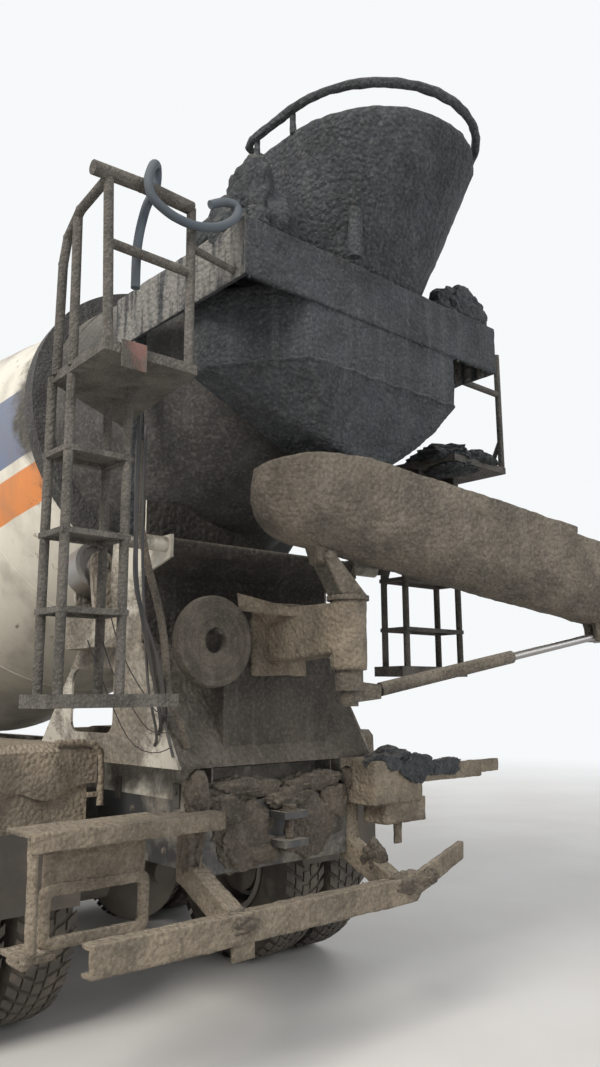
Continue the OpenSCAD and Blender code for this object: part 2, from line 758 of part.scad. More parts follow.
module lamp_brackets() {
    x0 = 180;
    x1 = 400;
    far = 290;
    seat_z = frame_top - 60 + gap;
    placed() color(c_crust) {
        // Left shelf with its ledge, guard frame and round bar
        block([x0, 650, shelf_z - 12], [x1, 1240, shelf_z]);
        block([x0, frame_w / 2 + gap, shelf_z - 60], [x0 + 8, 1240, shelf_z - 11]);
        block([x0, frame_w / 2 + gap, shelf_z - 60], [x0 + 90, 660, shelf_z]);
        block([x0 + 175, frame_w / 2 + gap, seat_z], [x1, 690, shelf_z - 11]);
        block([x0 + 7, 660, shelf_z - 60], [x0 + 100, 1180, shelf_z - 52]);
        block([far, 730, 825], [far + 10, 1140, shelf_z - 11]);
        block([x0 + 80, 730, shelf_z - 60], [far + 5, 1140, shelf_z - 52]);
        difference() {
            cross_slab(round_rect(712, 630, 1150, 842, 30, 3), far - 8, far + 14);
            cross_slab(round_rect(744, 662, 1118, 810, 15, 3), far - 9, far + 15);
        }
        pipe([[x0 + 30, 1225, shelf_z - 12], [x0 + 10, 1225, 660], [x0 + 60, 1225, 610],
              [x1 - 60, 1225, 610]], 16);
        block([x0 + 20, 1130, 620], [x1, 1240, 632]);
        // Right side: two bars left of the shelf, and a small box hanging under them
        block([x0 - 30, -760, 1000], [x0 + 120, -frame_w / 2 - gap, 1195]);
        block([x0 + 119, -560, seat_z], [x1, -frame_w / 2 - gap, 1055]);
        block([x0 - 30, -1245, 1085], [x0 - 20, -740, 1160]);
        block([x0 + 30, -1480, 1095], [x0 + 42, -740, 1155]);
        block([x0 - 20, -790, 905], [x0 + 120, -510, 1010]);
        block([x0 + 40, -680, 800], [x0 + 48, -640, 906]);
    }
}

module underrun_bar() {
    bend = -470;
    placed() color(c_crust) {
        difference() {
            block([0, bend, bar_z], [60, bar_half, bar_z + bar_h]);
            block([6, bend - eps, bar_z + 6], [61, bar_half + eps, bar_z + bar_h - 6]);
        }
        // Right end, knocked forward and up
        hull() {
            block([0, bend - 60, bar_z], [60, bend + 8, bar_z + bar_h]);
            block([0, bend - 90, bar_z + 30], [60, bend - 80, bar_z + bar_h + 20]);
        }
        hull() {
            block([0, bend - 90, bar_z + 30], [14, bend - 80, bar_z + bar_h + 20]);
            block([90, -985, bar_z + 120], [104, -975, bar_z + 190]);
        }
        block([6, arm_y - 10, bar_z - 60], [14, arm_y + 90, bar_z + 10]);
        both_sides()
            side_slab([[30, bar_z + 10], [59, bar_z + 10], [frame_rear_x + 60, rail_z - 20],
                       [frame_rear_x + 60, frame_top - 60], [frame_rear_x - 12 - gap, frame_top - 60],
                       [frame_rear_x - 12 - gap, rail_z + 50], [30, bar_z + bar_h - 10]],
                      frame_w / 2 + gap, frame_w / 2 + 70);
    }
}

// Water tank across the frame behind the cab

// Half length, height and radius of the water tank behind the cab
water_half = 900;
water_z = 1750;
water_r = 215;

module water_tank() {
    x0 = cab_rear_x - water_r - 45;
    placed() color(c_cream) {
        translate([x0, water_half, water_z]) rotate([90, 0, 0]) cylinder(h = 2 * water_half, r = water_r);
        both_sides() block([x0 - 50, frame_w / 2 - 60, frame_top], [x0 + 50, frame_w / 2 - 10, 1560]);
    }
}

// Ladders and platforms

rail_out_y = 1320;
rail_in_y = rail_out_y - step_w;
ladder_x = -40;
tread_half = 75;
ladder_foot_z = 1500;
plate_t = 36;

// Four rails with steps between them, the far pair at x + tread_half, for feet at foot_z.
module rails_and_steps(x, zs, foot_z, top_z, y0, y1) {
    for (y = [y0, y1])
        for (s = [-1, 1])
            bar([x + s * tread_half, y, foot_z], [x + s * tread_half, y, top_z], pipe_r);
    for (z = zs)
        difference() {
            block([x - tread_half - pipe_r, y0 - pipe_r, z - 20], [x + tread_half + pipe_r, y1 + pipe_r, z]);
            block([x - tread_half + 10, y0 + 12, z - 21], [x + tread_half - 10, y1 - 12, z - 5]);
        }
}

// Plate whose front edge runs on further at the inner side
module platform(x, z, y0, y1) {
    translate([0, 0, z - plate_t])
        linear_extrude(plate_t)
            polygon([[x, y0], [x, y1], [x + platform_l, y1 - 15], [x + platform_l + 280, y0 - 100]]);
}

module ladder_left() {
    x0 = ladder_x - 345;
    xo = ladder_x + tread_half;
    xi = ladder_x - tread_half;
    placed() color(c_steel) {
        rails_and_steps(ladder_x, [1800, 2065, 2350], ladder_foot_z, platform_z - 10, rail_in_y, rail_out_y);
        block([xi - 30, rail_in_y - 220, ladder_foot_z - 30],
              [xo + 25, rail_out_y + 50, ladder_foot_z + 15]);
        platform(x0, platform_z, 985, 1345);
        // Outer handrail that curves in at the top, and the posts along it
        pipe([[xo - 40, rail_out_y + 5, platform_z - 12], [xo - 50, rail_out_y + 5, 3050],
              [xo - 85, rail_out_y + 8, 3140], [xo - 190, rail_out_y + 15, 3200],
              [x0 + 25, rail_out_y + 20, 3225]], pipe_r);
        bar([xi - 15, rail_out_y + 6, platform_z - 12], [xi - 15, rail_out_y + 12, 3180], pipe_r);
        bar([x0 + 25, rail_out_y, platform_z - 12], [x0 + 25, rail_out_y + 20, 3230], pipe_r);
        bar([x0 + 25, 1005, platform_z - 12], [x0 + 25, 1005, 3240], pipe_r);
        pipe([[x0 + 25, 1400, 3236], [x0 + 25, 1213, 3248], [x0 + 25, 1005, 3243]], pipe_r + 8);
        bar([x0 + 25, rail_out_y + 12, 2990], [x0 + 25, 1005, 2990], pipe_r);
        // Stay from the inner post to the hopper's band
        bar([x0 + 25, 1005, 3090], [x0 + 60, band_half_w + 4, 3090], pipe_r - 3);
        // Braces to the pedestal's cross tube
        ladder_brace(xo, rail_in_y);
    }
}

// Brace from the inner rail to the end of the pedestal's cross tube
module ladder_brace(x, y) {
    pipe([[x, y, cross_z - 90], [cross_x - 60, ped_y + 240, cross_z - 5],
          [cross_x, ped_y + 240, cross_z], [cross_x, ped_y + 200 + gap, cross_z]],
         pipe_r);
}

module ladder_right() {
    x = 275;
    y0 = 740;
    y1 = 1175;
    placed() color(c_steel) mirror([0, 1, 0]) {
        rails_and_steps(x, [1850, 2110], 1640, 2640, y0, y1);
        block([x - tread_half - 20, y0 - 60, 1600], [x + tread_half + 25, y1 + 30, 1650]);
        translate([0, 0, 100]) {
            platform(-60, platform_z, 860, 1310);
            for (y = [y0 + 140, y1])
                block([x - tread_half - pipe_r, y - 20, platform_z - 130],
                      [x + tread_half + pipe_r, y + 20, platform_z - plate_t + 1]);
        }
        block([x - tread_half - pipe_r, y0 - 20, platform_z - 30],
              [x + tread_half + pipe_r, y1 + 20, platform_z]);
        ladder_brace(x + tread_half, y0);
        bar([-45, 1295, platform_z + 80], [-45, 1295, 3400], pipe_r);
        bar([-45, 1295, 2900], [40, 1295, platform_z + 90], pipe_r - 4);
        bar([-45, 1295, 3165], [-45, band_half_w + gap, 3165], pipe_r);
    }
}

// Hopper group

band_x1 = -band_rear + band_l;
band_top = band_z + band_h;

module hopper_frame() {
    placed() color(c_dark) {
        difference() {
            block([-band_rear, -band_half_w, band_z], [band_x1, band_half_w, band_top]);
            block([-band_rear + band_t, -band_half_w + band_t, band_z - eps],
                  [band_x1 + eps, band_half_w - band_t, band_top + eps]);
        }
        // Posts down to the pedestal's cross tube, and arms that carry the charging hopper
        both_sides() {
            difference() {
                block([cross_x - 30, band_half_w - 60, cross_z],
                      [cross_x + 30, band_half_w - band_t + eps, band_z + 60]);
                translate([cross_x, band_half_w + eps, cross_z]) rotate([90, 0, 0])
                    cylinder(h = 80, r = cross_r + gap);
            }
            block([throat_x1 - 110, throat_half + funnel_lean * 40 + gap, throat_z + 10],
                  [throat_x1 - 50, band_half_w - band_t + eps, throat_z + 40]);
        }
    }
}

throat_x0 = -300;
throat_x1 = 30;
throat_half = 400;
mouth_front = 30;
throat_z = band_top - 60;
funnel_lean = (ring_half_w - 20 - throat_half) / (hopper_rim_z - 20 - throat_z);

// Outline of the hopper's mouth at the ring, grown by g.
function mouth_outline(g) = concat(
    [[mouth_front + g, -ring_half_w - g], [mouth_front + g, ring_half_w + g]],
    [for (i = [0 : 16])
        let (a = 90 + 180 * i / 16)
        [ring_half_w - ring_rear + (ring_half_w + g) * cos(a), (ring_half_w + g) * sin(a)]]);

// Outline of the hopper's foot, wide at the front and narrow at the back, grown by g.
function throat_outline(g) = [
    [throat_x1 + g, -throat_half - g], [throat_x1 + g, throat_half + g],
    [throat_x0 + 170, throat_half + g], [throat_x0 - g, throat_half - 170 + g],
    [throat_x0 - g, -throat_half + 170 - g], [throat_x0 + 170, -throat_half - g]
];

// Chute at the foot of the hopper, reaching into the drum's mouth
inlet_x = mouth_x + 220;
module inlet(g, cut) {
    hull() {
        translate([0, 0, throat_z - cut])
            linear_extrude(30 + 2 * cut)
                polygon(round_rect(throat_x0 + 150 - g, -200 - g, throat_x1 + g, 200 + g, 60, 4));
        translate([inlet_x - 60, -150 - g, throat_z - 200 - cut]) cube([60 + 2 * g + cut, 300 + 2 * g, 20]);
    }
}

module funnel(g) {
    hull() {
        translate([0, 0, hopper_rim_z - 20]) linear_extrude(20) polygon(mouth_outline(g - 20));
        translate([0, 0, throat_z])
            linear_extrude(20) polygon(throat_outline(g));
    }
}

module charging_hopper() {
    placed() color(c_dark) {
        difference() {
            union() {
                funnel(0);
                inlet(0, 0);
            }
            inlet(-hopper_t, 5);
            intersection() {
                funnel(-hopper_t);
                block([-1000, -1000, throat_z - eps], [1000, 1000, hopper_rim_z + eps]);
            }
            translate([0, 0, hopper_rim_z - 21]) linear_extrude(40) polygon(mouth_outline(-20 - hopper_t));
            translate([0, 0, throat_z - eps])
                linear_extrude(22) polygon(throat_outline(-hopper_t));
        }
    }
}

// A closed loop of tube through the points.
module tube_loop(points, r, n) {
    m = len(points);
    rings = [
        for (i = [0 : m - 1])
            let (
                t = points[(i + 1) % m] - points[(i + m - 1) % m],
                u = cross(t, [0, 0, 1]) / norm(cross(t, [0, 0, 1]))
            )
            for (k = [0 : n - 1]) points[i] + r * (cos(360 * k / n) * u + sin(360 * k / n) * [0, 0, 1])
    ];
    polyhedron(points = rings, faces = [
        for (i = [0 : m - 1]) for (k = [0 : n - 1])
            [i * n + k, i * n + (k + 1) % n, ((i + 1) % m) * n + (k + 1) % n, ((i + 1) % m) * n + k]
    ]);
}

module hopper_ring() {
    c = 70;
    points = [for (p = mouth_outline(0)) if (p[0] < mouth_front - 1) [p[0], p[1], ring_z]];
    corner = [
        [mouth_front - c, -ring_half_w, ring_z], [mouth_front - 0.3 * c, -ring_half_w + 0.3 * c, ring_z],
        [mouth_front, -ring_half_w + c, ring_z], [mouth_front, ring_half_w - c, ring_z],
        [mouth_front - 0.3 * c, ring_half_w - 0.3 * c, ring_z], [mouth_front - c, ring_half_w, ring_z]
    ];
    placed() color(c_dark) {
        tube_loop(concat(corner, points), ring_pipe_r, 8);
        leg_y = ring_half_w - 14;
        for (p = [[mouth_front - 90, leg_y], [mouth_front - 90, -leg_y], [-300, leg_y]])
            bar([p[0], p[1], ring_z], [p[0], p[1], hopper_rim_z + gap], 9);
    }
}

spout_r = 150;
spout_z = 2440;
spout_l = 115;

collector_half = 700;
collector_z = band_z + 60;

// Plan of the collector's upper part, a half octagon open to the drum, shrunk by g.
function collector_outline(g) = [
    [300, -collector_half + g], [300, collector_half - g], [-40, collector_half - g],
    [-band_rear + band_t + gap + g, 450 - g], [-band_rear + band_t + gap + g, -450 + g],
    [-40, -collector_half + g]
];

seam_z = 2815;

module collector_form(g) {
    translate([0, 0, seam_z]) linear_extrude(collector_z + 20 + 3 * g - seam_z)
        polygon(collector_outline(g));
    hull() {
        translate([0, 0, seam_z]) linear_extrude(2) polygon(collector_outline(g));
        translate([0, 0, spout_z + spout_l])
            linear_extrude(2)
                polygon(round_rect(post_x - 150 + g, -240 + g, post_x + 150 - g, 240 - g, 60, 4));
    }
    hull() {
        translate([0, 0, spout_z + spout_l])
            linear_extrude(2)
                polygon(round_rect(post_x - 150 + g, -240 + g, post_x + 150 - g, 240 - g, 60, 4));
        translate([post_x, 0, spout_z + 40]) cylinder(h = 2, r = spout_r - g, $fn = 32);
    }
    translate([post_x, 0, spout_z - g]) cylinder(h = 42 + g, r = spout_r - g, $fn = 32);
}

module collector() {
    placed() color(c_dark)
        difference() {
            collector_form(0);
            collector_form(8);
            on_drum() translate([0, 0, -30]) cylinder(h = 900, r = 900);
        }
}

// Chute arm with the swivel's boss

boss_r = 62;
boss_h = 290;
arm_z1 = swivel_z - 15;

module chute_arm() {
    x1 = ped_rear_x - 60 - gap;
    placed() color(c_crust)
        difference() {
            union() {
                side_slab([[post_x, arm_z1 - 200], [x1, arm_z1 - 230],
                           [x1, arm_z1], [post_x, arm_z1]], -74, 74);
                translate([post_x, 0, swivel_z - boss_h]) cylinder(h = boss_h, r = boss_r + 12);
                block([x1 - 12, -160, arm_z1 - 290], [x1, 160, arm_z1 + 40]);
            }
            translate([post_x, 0, swivel_z - boss_h - eps]) cylinder(h = boss_h + 2 * eps, r = post_r + run);
        }
}

// Chute group, drawn in the frame of the post: x runs out along the chute

hinge_t = -125;
hinge_z = 2085;
hinge_r = 14;
foot_t = 105;
foot_z = 1520;
eye_t = 1470;
eye_z = 1795;
lug_half = 22;

module at_post() {
    translate([post_x, 0, 0]) rotate([0, 0, chute_dir]) children();
}

module chute_swivel() {
    placed() color(c_crust)
        at_post() {
            difference() {
                union() {
                    translate([0, 0, foot_z - 60]) cylinder(h = swivel_z - foot_z + 62, r = post_r);
                    translate([0, 0, swivel_z + gap]) cylinder(h = 20, r = 92);
                    translate([0, 0, swivel_z - boss_h - 90]) cylinder(h = 90 - gap, r = 60);
                    for (s = [-1, 1]) {
                        side_slab([[-60, swivel_z + 19], [60, swivel_z + 19],
                                   [hinge_t + 28, hinge_z + 12], [hinge_t - 28, hinge_z + 12]],
                                  s * 55 - 8, s * 55 + 8);
                        side_slab([[0, foot_z - 45], [foot_t + 30, foot_z - 30],
                                   [foot_t + 30, foot_z + 30], [0, foot_z + 45]],
                                  s * (lug_half + 9) - 8, s * (lug_half + 9) + 8);
                    }
                }
                for (s = [-1, 1]) {
                    translate([hinge_t, s * 55 + 20, hinge_z]) rotate([90, 0, 0])
                        cylinder(h = 40, r = hinge_r + run);
                    translate([foot_t, s * 31 + 20, foot_z]) rotate([90, 0, 0])
                        cylinder(h = 40, r = hinge_r + run);
                }
            }
        }
}

chute_bottom_z = 2118;

// Moves children into the sloping frame of the chute, x along it, z = 0 at the round's middle.
module on_chute() {
    at_post()
        translate([hinge_t, 0, chute_bottom_z])
            rotate([0, chute_slope, 0])
                translate([0, 0, chute_r]) children();
}

head_back = -140;

chute_l = (chute_reach - hinge_t) / cos(chute_slope);
chute_step = 1240;
head_z = 2485;

// Outer or inner form of the chute: a trough with a round bottom and a round, closed head.
module trough(r, top) {
    hull() {
        translate([head_back, 0, 0]) sphere(r = r, $fn = 32);
        translate([head_back, 0, 0]) cylinder(h = top, r = r, $fn = 32);
        translate([head_back, 0, 0]) rotate([0, 90, 0]) cylinder(h = chute_l - head_back, r = r, $fn = 32);
        block([head_back, -r, 0], [chute_l, r, top]);
    }
}

module trough_hollow() {
    r = chute_r - chute_t;
    hull() {
        translate([head_back, 0, 0]) sphere(r = r, $fn = 32);
        translate([head_back, 0, 0]) cylinder(h = chute_side + eps, r = r, $fn = 32);
        translate([head_back, 0, 0]) rotate([0, 90, 0])
            cylinder(h = chute_l - head_back + eps, r = r, $fn = 32);
        block([head_back, -r, 0], [chute_l + eps, r, chute_side + eps]);
    }
}

module chute_sheet() {
    difference() {
        trough(chute_r, chute_side);
        trough_hollow();
        block([-600, -chute_r - eps, chute_side], [chute_l + eps, chute_r + eps, 2 * chute_r]);
        block([chute_step, -chute_r - eps, chute_side - chute_drop],
              [chute_l + eps, chute_r + eps, chute_side + eps]);
    }
}

module chute() {
    placed() color(c_crust) {
        difference() {
            on_chute() chute_sheet();
            // The head's rim is cut level, and lower at the nose
            at_post()
                side_slab([[-700, head_z - 95], [-300, head_z - 8], [-160, head_z], [60, head_z], [60, 3000],
                           [-700, 3000]], -300, 300);
        }
        difference() {
            at_post() {
                side_slab([[hinge_t - 30, hinge_z - 22], [hinge_t + 30, hinge_z - 22],
                           [hinge_t + 60, hinge_z + 60], [hinge_t - 60, hinge_z + 60]], -46, 46);
                translate([hinge_t, 70, hinge_z]) rotate([90, 0, 0]) cylinder(h = 140, r = hinge_r);
                for (s = [-1, 1])
                    side_slab([[eye_t - 28, eye_z - 25], [eye_t + 28, eye_z - 25],
                               [eye_t + 60, eye_z + 90], [eye_t - 60, eye_z + 110]],
                              s * (lug_half + 9) - 8, s * (lug_half + 9) + 8);
                translate([eye_t, 45, eye_z]) rotate([90, 0, 0]) cylinder(h = 90, r = eye_pin_r);
            }
            on_chute() trough(chute_r - chute_t / 2, chute_side);
        }
    }
}
eye_pin_r = 10;

strut_angle = atan2(eye_z - foot_z, eye_t - foot_t);
strut_l = norm([eye_t - foot_t, eye_z - foot_z]);
barrel_l = strut_l * 0.58;
rod_r = 19;
barrel_r = 30;

module on_strut() {
    at_post() translate([foot_t, 0, foot_z]) rotate([0, 90 - strut_angle, 0]) children();
}

module strut_barrel() {
    placed() color(c_crust)
        on_strut() {
            rotate([90, 0, 0]) translate([0, 0, -38]) cylinder(h = 76, r = hinge_r);
            rotate([90, 0, 0]) translate([0, 0, -lug_half]) cylinder(h = 2 * lug_half, r = 26);
            translate([0, 0, 18]) cylinder(h = 40, r = 19);
            difference() {
                translate([0, 0, 50]) cylinder(h = barrel_l - 50, r = barrel_r);
                translate([0, 0, 90]) cylinder(h = barrel_l, r = rod_r + run);
            }
        }
}

module strut_rod() {
    placed() color(c_steel)
        on_strut() {
            translate([0, 0, 280]) cylinder(h = strut_l - 280 - 31, r = rod_r);
            translate([0, 0, strut_l]) rotate([90, 0, 0]) translate([0, 0, -lug_half + 2])
                difference() {
                    cylinder(h = 2 * lug_half - 4, r = 37);
                    translate([0, 0, -eps]) cylinder(h = 2 * lug_half, r = eye_pin_r + 14.5);
                }
        }
}

// Drum

module drum() {
    head_r = 250;
    placed() color(c_cream)
        on_drum() {
            rotate_extrude($fn = 72)
                polygon([
                    [mouth_r, 0], [mouth_r + drum_t, 0], [drum_r, rear_cone_l],
                    [drum_r, rear_cone_l + cyl_l], [drum_r * 0.62, drum_l - 60],
                    [head_r, drum_l], [0, drum_l], [0, drum_l - drum_t],
                    [head_r - 2, drum_l - drum_t], [drum_r * 0.62 - drum_t, drum_l - 60 - drum_t],
                    [drum_r - drum_t, rear_cone_l + cyl_l - 2], [drum_r - drum_t, rear_cone_l + 2]
                ]);
            translate([0, 0, -12])
                difference() {
                    cylinder(h = 40, r = mouth_r + 26, $fn = 72);
                    translate([0, 0, -eps]) cylinder(h = 42, r = mouth_r, $fn = 72);
                }
            translate([0, 0, drum_l - eps]) cylinder(h = 22 + eps - gap, r = 200);
        }
}

// Track ring round the rear cone, running on the rollers
module drum_track() {
    placed() color(c_steel)
        on_drum() translate([0, 0, track_s - track_w / 2])
            difference() {
                cylinder(h = track_w, r = track_r, $fn = 72);
                translate([0, 0, -eps])
                    cylinder(h = track_w + 2 * eps, r1 = cone_r(track_s - track_w / 2 - eps) + gap,
                             r2 = cone_r(track_s + track_w / 2 + eps) + gap, $fn = 72);
            }
}

// Hoses

coil_x = ped_rear_x - 60;
coil_y = 394;
coil_half = 34;
coil_z = 1740;

coil_hole = 52;

module hose_coil() {
    placed() color(c_hose)
        translate([coil_x - 62 - gap, coil_y, coil_z])
            rotate([0, 90, 0])
                rotate_extrude($fn = 36) {
                    polygon(round_rect(coil_hole, 6, coil_r + coil_half, 56, 20, 2));
                    for (i = [0 : 3])
                        translate([coil_hole + 19 + i * (coil_r + coil_half - coil_hole - 38) / 3, 19])
                            circle(r = 19, $fn = 8);
                    for (i = [0 : 2])
                        translate([coil_hole + 40 + i * (coil_r + coil_half - coil_hole - 59) / 2, 43])
                            circle(r = 19, $fn = 8);
                }
}

function tube_rings(points, r, n) = [
    for (i = [0 : len(points) - 1])
        let (
            a = points[max(i - 1, 0)],
            b = points[min(i + 1, len(points) - 1)],
            t = (b - a) / norm(b - a),
            up = abs(t[2]) > 0.9 ? [1, 0, 0] : [0, 0, 1],
            u = cross(t, up) / norm(cross(t, up)),
            v = cross(t, u)
        )
        for (k = [0 : n - 1]) points[i] + r * (cos(360 * k / n) * u + sin(360 * k / n) * v)
];

// Points on smooth curves through the given ones, m to a stretch.
function through(p, m) = concat(
    [for (i = [0 : len(p) - 2])
        let (
            p0 = p[max(i - 1, 0)], p1 = p[i], p2 = p[i + 1], p3 = p[min(i + 2, len(p) - 1)]
        )
        for (k = [0 : m - 1])
            let (t = k / m)
            0.5 * (2 * p1 + (p2 - p0) * t + (2 * p0 - 5 * p1 + 4 * p2 - p3) * t * t
                   + (3 * p1 - p0 - 3 * p2 + p3) * t * t * t)],
    [p[len(p) - 1]]);

module hose(route, d, m) {
    n = 8;
    points = through(route, m);
    rings = len(points);
    polyhedron(
        points = tube_rings(points, d / 2, n),
        faces = concat(
            [[for (k = [0 : n - 1]) k]],
            [[for (k = [0 : n - 1]) (rings - 1) * n + n - 1 - k]],
            [for (i = [0 : rings - 2]) for (k = [0 : n - 1])
                [i * n + k, (i + 1) * n + k, (i + 1) * n + (k + 1) % n, i * n + (k + 1) % n]]
        ));
}

feed_route = [
    [300, 800, 2560], [310, 790, 2300], [330, 735, 2080], [338, 670, 1900], [340, 630, 1740],
    [340, 600, 1520], [338, 540, 1400], [336.4, 505, 1296]
];

handrail_route = [
    [-308, 1195, 2890], [-308, 1192, 3050], [-309, 1165, 3200], [-313, 1128, 3300], [-345, 1145, 3352],
    [-387, 1185, 3325], [-403.8, 1213, 3248], [-400, 1195, 3195], [-398, 1145, 3168], [-397, 1087, 3155],
    [-396.5, 1006, 3158], [-392, 904, 3197], [-385, 825, 3265], [-378, 812, 3318], [-368, 860, 3325],
    [-360, 923, 3292]
];

module feed_hose() { placed() color(c_hose) hose(feed_route, hose_d, 4); }
module handrail_hose() { placed() color(c_hose) hose(handrail_route, hose_d, 4); }

// Cab

pivot_x = cab_front_x - 100;
pivot_z = 1030;
cab_low = 1070;
cab_arch_z = 1250;
arch_x1 = front_x + tyre_r + 110;
belt_z = 1760;
screen_top_z = 2640;

function cab_side(g) = [
    [cab_rear_x + g, cab_arch_z + g], [arch_x1 - 180, cab_arch_z + g], [arch_x1, cab_low + g],
    [cab_front_x - g, cab_low + g], [cab_front_x - g, belt_z], [cab_front_x - 60 - g, belt_z + 260],
    [cab_front_x - 230 - g, screen_top_z], [cab_front_x - 420, cab_top - 40 - g],
    [cab_front_x - 700, cab_top - g], [cab_rear_x + 120 + g, cab_top - g], [cab_rear_x + g, cab_top - 120]
];

function cab_plan(g) = round_rect(cab_rear_x + g, -cab_w / 2 + g, cab_front_x - g, cab_w / 2 - g, 140, 5);

module cab_solid(g) {
    intersection() {
        side_slab(cab_side(g), -cab_w / 2 + g, cab_w / 2 - g);
        translate([0, 0, 900]) linear_extrude(2400) polygon(cab_plan(g));
    }
}

door_x0 = cab_front_x - 1130;
door_x1 = cab_front_x - 340;

door_hinge_x = door_x1 - door_gap / 2;
door_hinge_y = cab_w / 2 + 12;
hinge_zs = [1300, 1620];

function door_shape(g) = [
    [door_x0 + g, cab_arch_z + 60 + g], [arch_x1 - 150, cab_arch_z + 60 + g],
    [arch_x1 + 40, cab_low + 50 + g], [door_x1 - g, cab_low + 50 + g],
    [door_x1 - g, 2520 - g], [door_x0 + g, 2580 - g]
];

function window_shape(g) = [
    [door_x0 + 90 + g, belt_z + 20 + g], [door_x1 - 60 - g, belt_z + 20 + g],
    [door_x1 - 60 - g, 2430 - g], [door_x0 + 90 + g, 2480 - g]
];

// Opening for the windscreen and the openings for rear and side windows
module screen_cut(g) {
    cross_slab(round_rect(-1020 + g, belt_z + 90 + g, 1020 - g, screen_top_z - 60 - g, 90, 4),
               cab_front_x - 420, cab_front_x + 50);
}

module cab_shell() {
    placed() color(c_cream) {
        difference() {
            cab_solid(0);
            cab_solid(cab_t);
            screen_cut(0);
            side_slab(door_shape(0), -cab_w, cab_w);
            cross_slab(round_rect(-450, 1900, 450, 2400, 60, 4), cab_rear_x - 50, cab_rear_x + 200);
        }
        // Hinge knuckles of the doors
        both_sides()
            for (z = hinge_zs) {
                translate([door_hinge_x, door_hinge_y, z]) cylinder(h = 50, r = 11);
                block([door_hinge_x, cab_w / 2 - 1, z], [door_hinge_x + 50, door_hinge_y + 5, z + 50]);
            }
        // Tilt pins under the nose, each in a bracket of the frame
        both_sides() {
            side_slab([[pivot_x - 30, pivot_z - 30], [pivot_x + 30, pivot_z - 30],
                       [pivot_x + 45, cab_low + 20], [pivot_x - 60, cab_low + 20]],
                      frame_w / 2 - 35, frame_w / 2 - 5);
            translate([pivot_x, frame_w / 2 - 5, pivot_z]) rotate([90, 0, 0]) cylinder(h = 85, r = pin_r);
        }
        // Grille bars on the nose
        for (i = [0 : 4])
            block([cab_front_x - 1, -720, 1200 + 90 * i], [cab_front_x + 22, 720, 1240 + 90 * i]);
        // Mirrors
        both_sides() {
            bar([cab_front_x - 220, cab_w / 2 - 40, 2350], [cab_front_x - 60, mirror_y - 90, 2350], 14);
            bar([cab_front_x - 220, cab_w / 2 - 40, 1850], [cab_front_x - 60, mirror_y - 90, 1850], 14);
            block([cab_front_x - 110, mirror_y - 230 + 30, 1830], [cab_front_x - 40, mirror_y, 2370]);
        }
    }
}

module cab_glass() {
    placed() color(c_glass) {
        intersection() {
            difference() {
                cab_solid(20);
                cab_solid(20 + glass_t);
            }
            screen_cut(gap);
        }
        cross_slab(round_rect(-450 + gap, 1900 + gap, 450 - gap, 2400 - gap, 60, 4),
                   cab_rear_x + 20, cab_rear_x + 20 + glass_t);
    }
}

module cab_interior() {
    floor_z = cab_arch_z + cab_t;
    placed() color(c_black) {
        both_sides() {
            block([cab_rear_x + 800, 350, floor_z], [cab_rear_x + 1250, 800, floor_z + 330]);
            side_slab([[cab_rear_x + 700, floor_z + 250], [cab_rear_x + 830, floor_z + 250],
                       [cab_rear_x + 760, floor_z + 1100], [cab_rear_x + 640, floor_z + 1100]], 350, 800);
        }
        block([cab_front_x - 520, -cab_w / 2 + cab_t + 150, cab_low + cab_t + 350],
              [cab_front_x - 200, cab_w / 2 - cab_t - 150, belt_z]);
        block([cab_front_x - 420, -600, cab_low + cab_t], [cab_front_x - 320, 600, cab_low + cab_t + 360]);
        translate([cab_front_x - 600, 575, belt_z - 40]) rotate([0, -60, 0]) {
            difference() {
                cylinder(h = 28, r = 230);
                translate([0, 0, -eps]) cylinder(h = 30, r = 202);
            }
            for (a = [0, 120, 240]) rotate(a) block([0, -14, 4], [206, 14, 22]);
            translate([0, 0, -150]) cylinder(h = 160, r = 40);
        }
    }
}

module door(side) {
    mirror([0, side > 0 ? 0 : 1, 0]) {
        for (z = hinge_zs) {
            translate([door_hinge_x, door_hinge_y, z + 50 + gap]) cylinder(h = 50, r = 11);
            block([door_hinge_x - 50, cab_w / 2 - 1, z + 50 + gap],
                  [door_hinge_x, door_hinge_y + 5, z + 100 + gap]);
        }
        difference() {
            intersection() {
                cab_solid(0);
                side_slab(door_shape(door_gap), cab_w / 2 - cab_t, cab_w / 2);
            }
            side_slab(window_shape(0), cab_w / 2 - cab_t - eps, cab_w / 2 + eps);
            block([door_x0 + 120, cab_w / 2 - 18, 1500], [door_x0 + 300, cab_w / 2 + eps, 1560]);
        }
    }
}

module door_glass(side) {
    mirror([0, side > 0 ? 0 : 1, 0])
        side_slab(window_shape(gap), cab_w / 2 - cab_t / 2, cab_w / 2 - cab_t / 2 + glass_t);
}

module door_left() { placed() color(c_cream) door(1); }
module door_right() { placed() color(c_cream) door(-1); }
module door_glass_left() { placed() color(c_glass) door_glass(1); }
module door_glass_right() { placed() color(c_glass) door_glass(-1); }

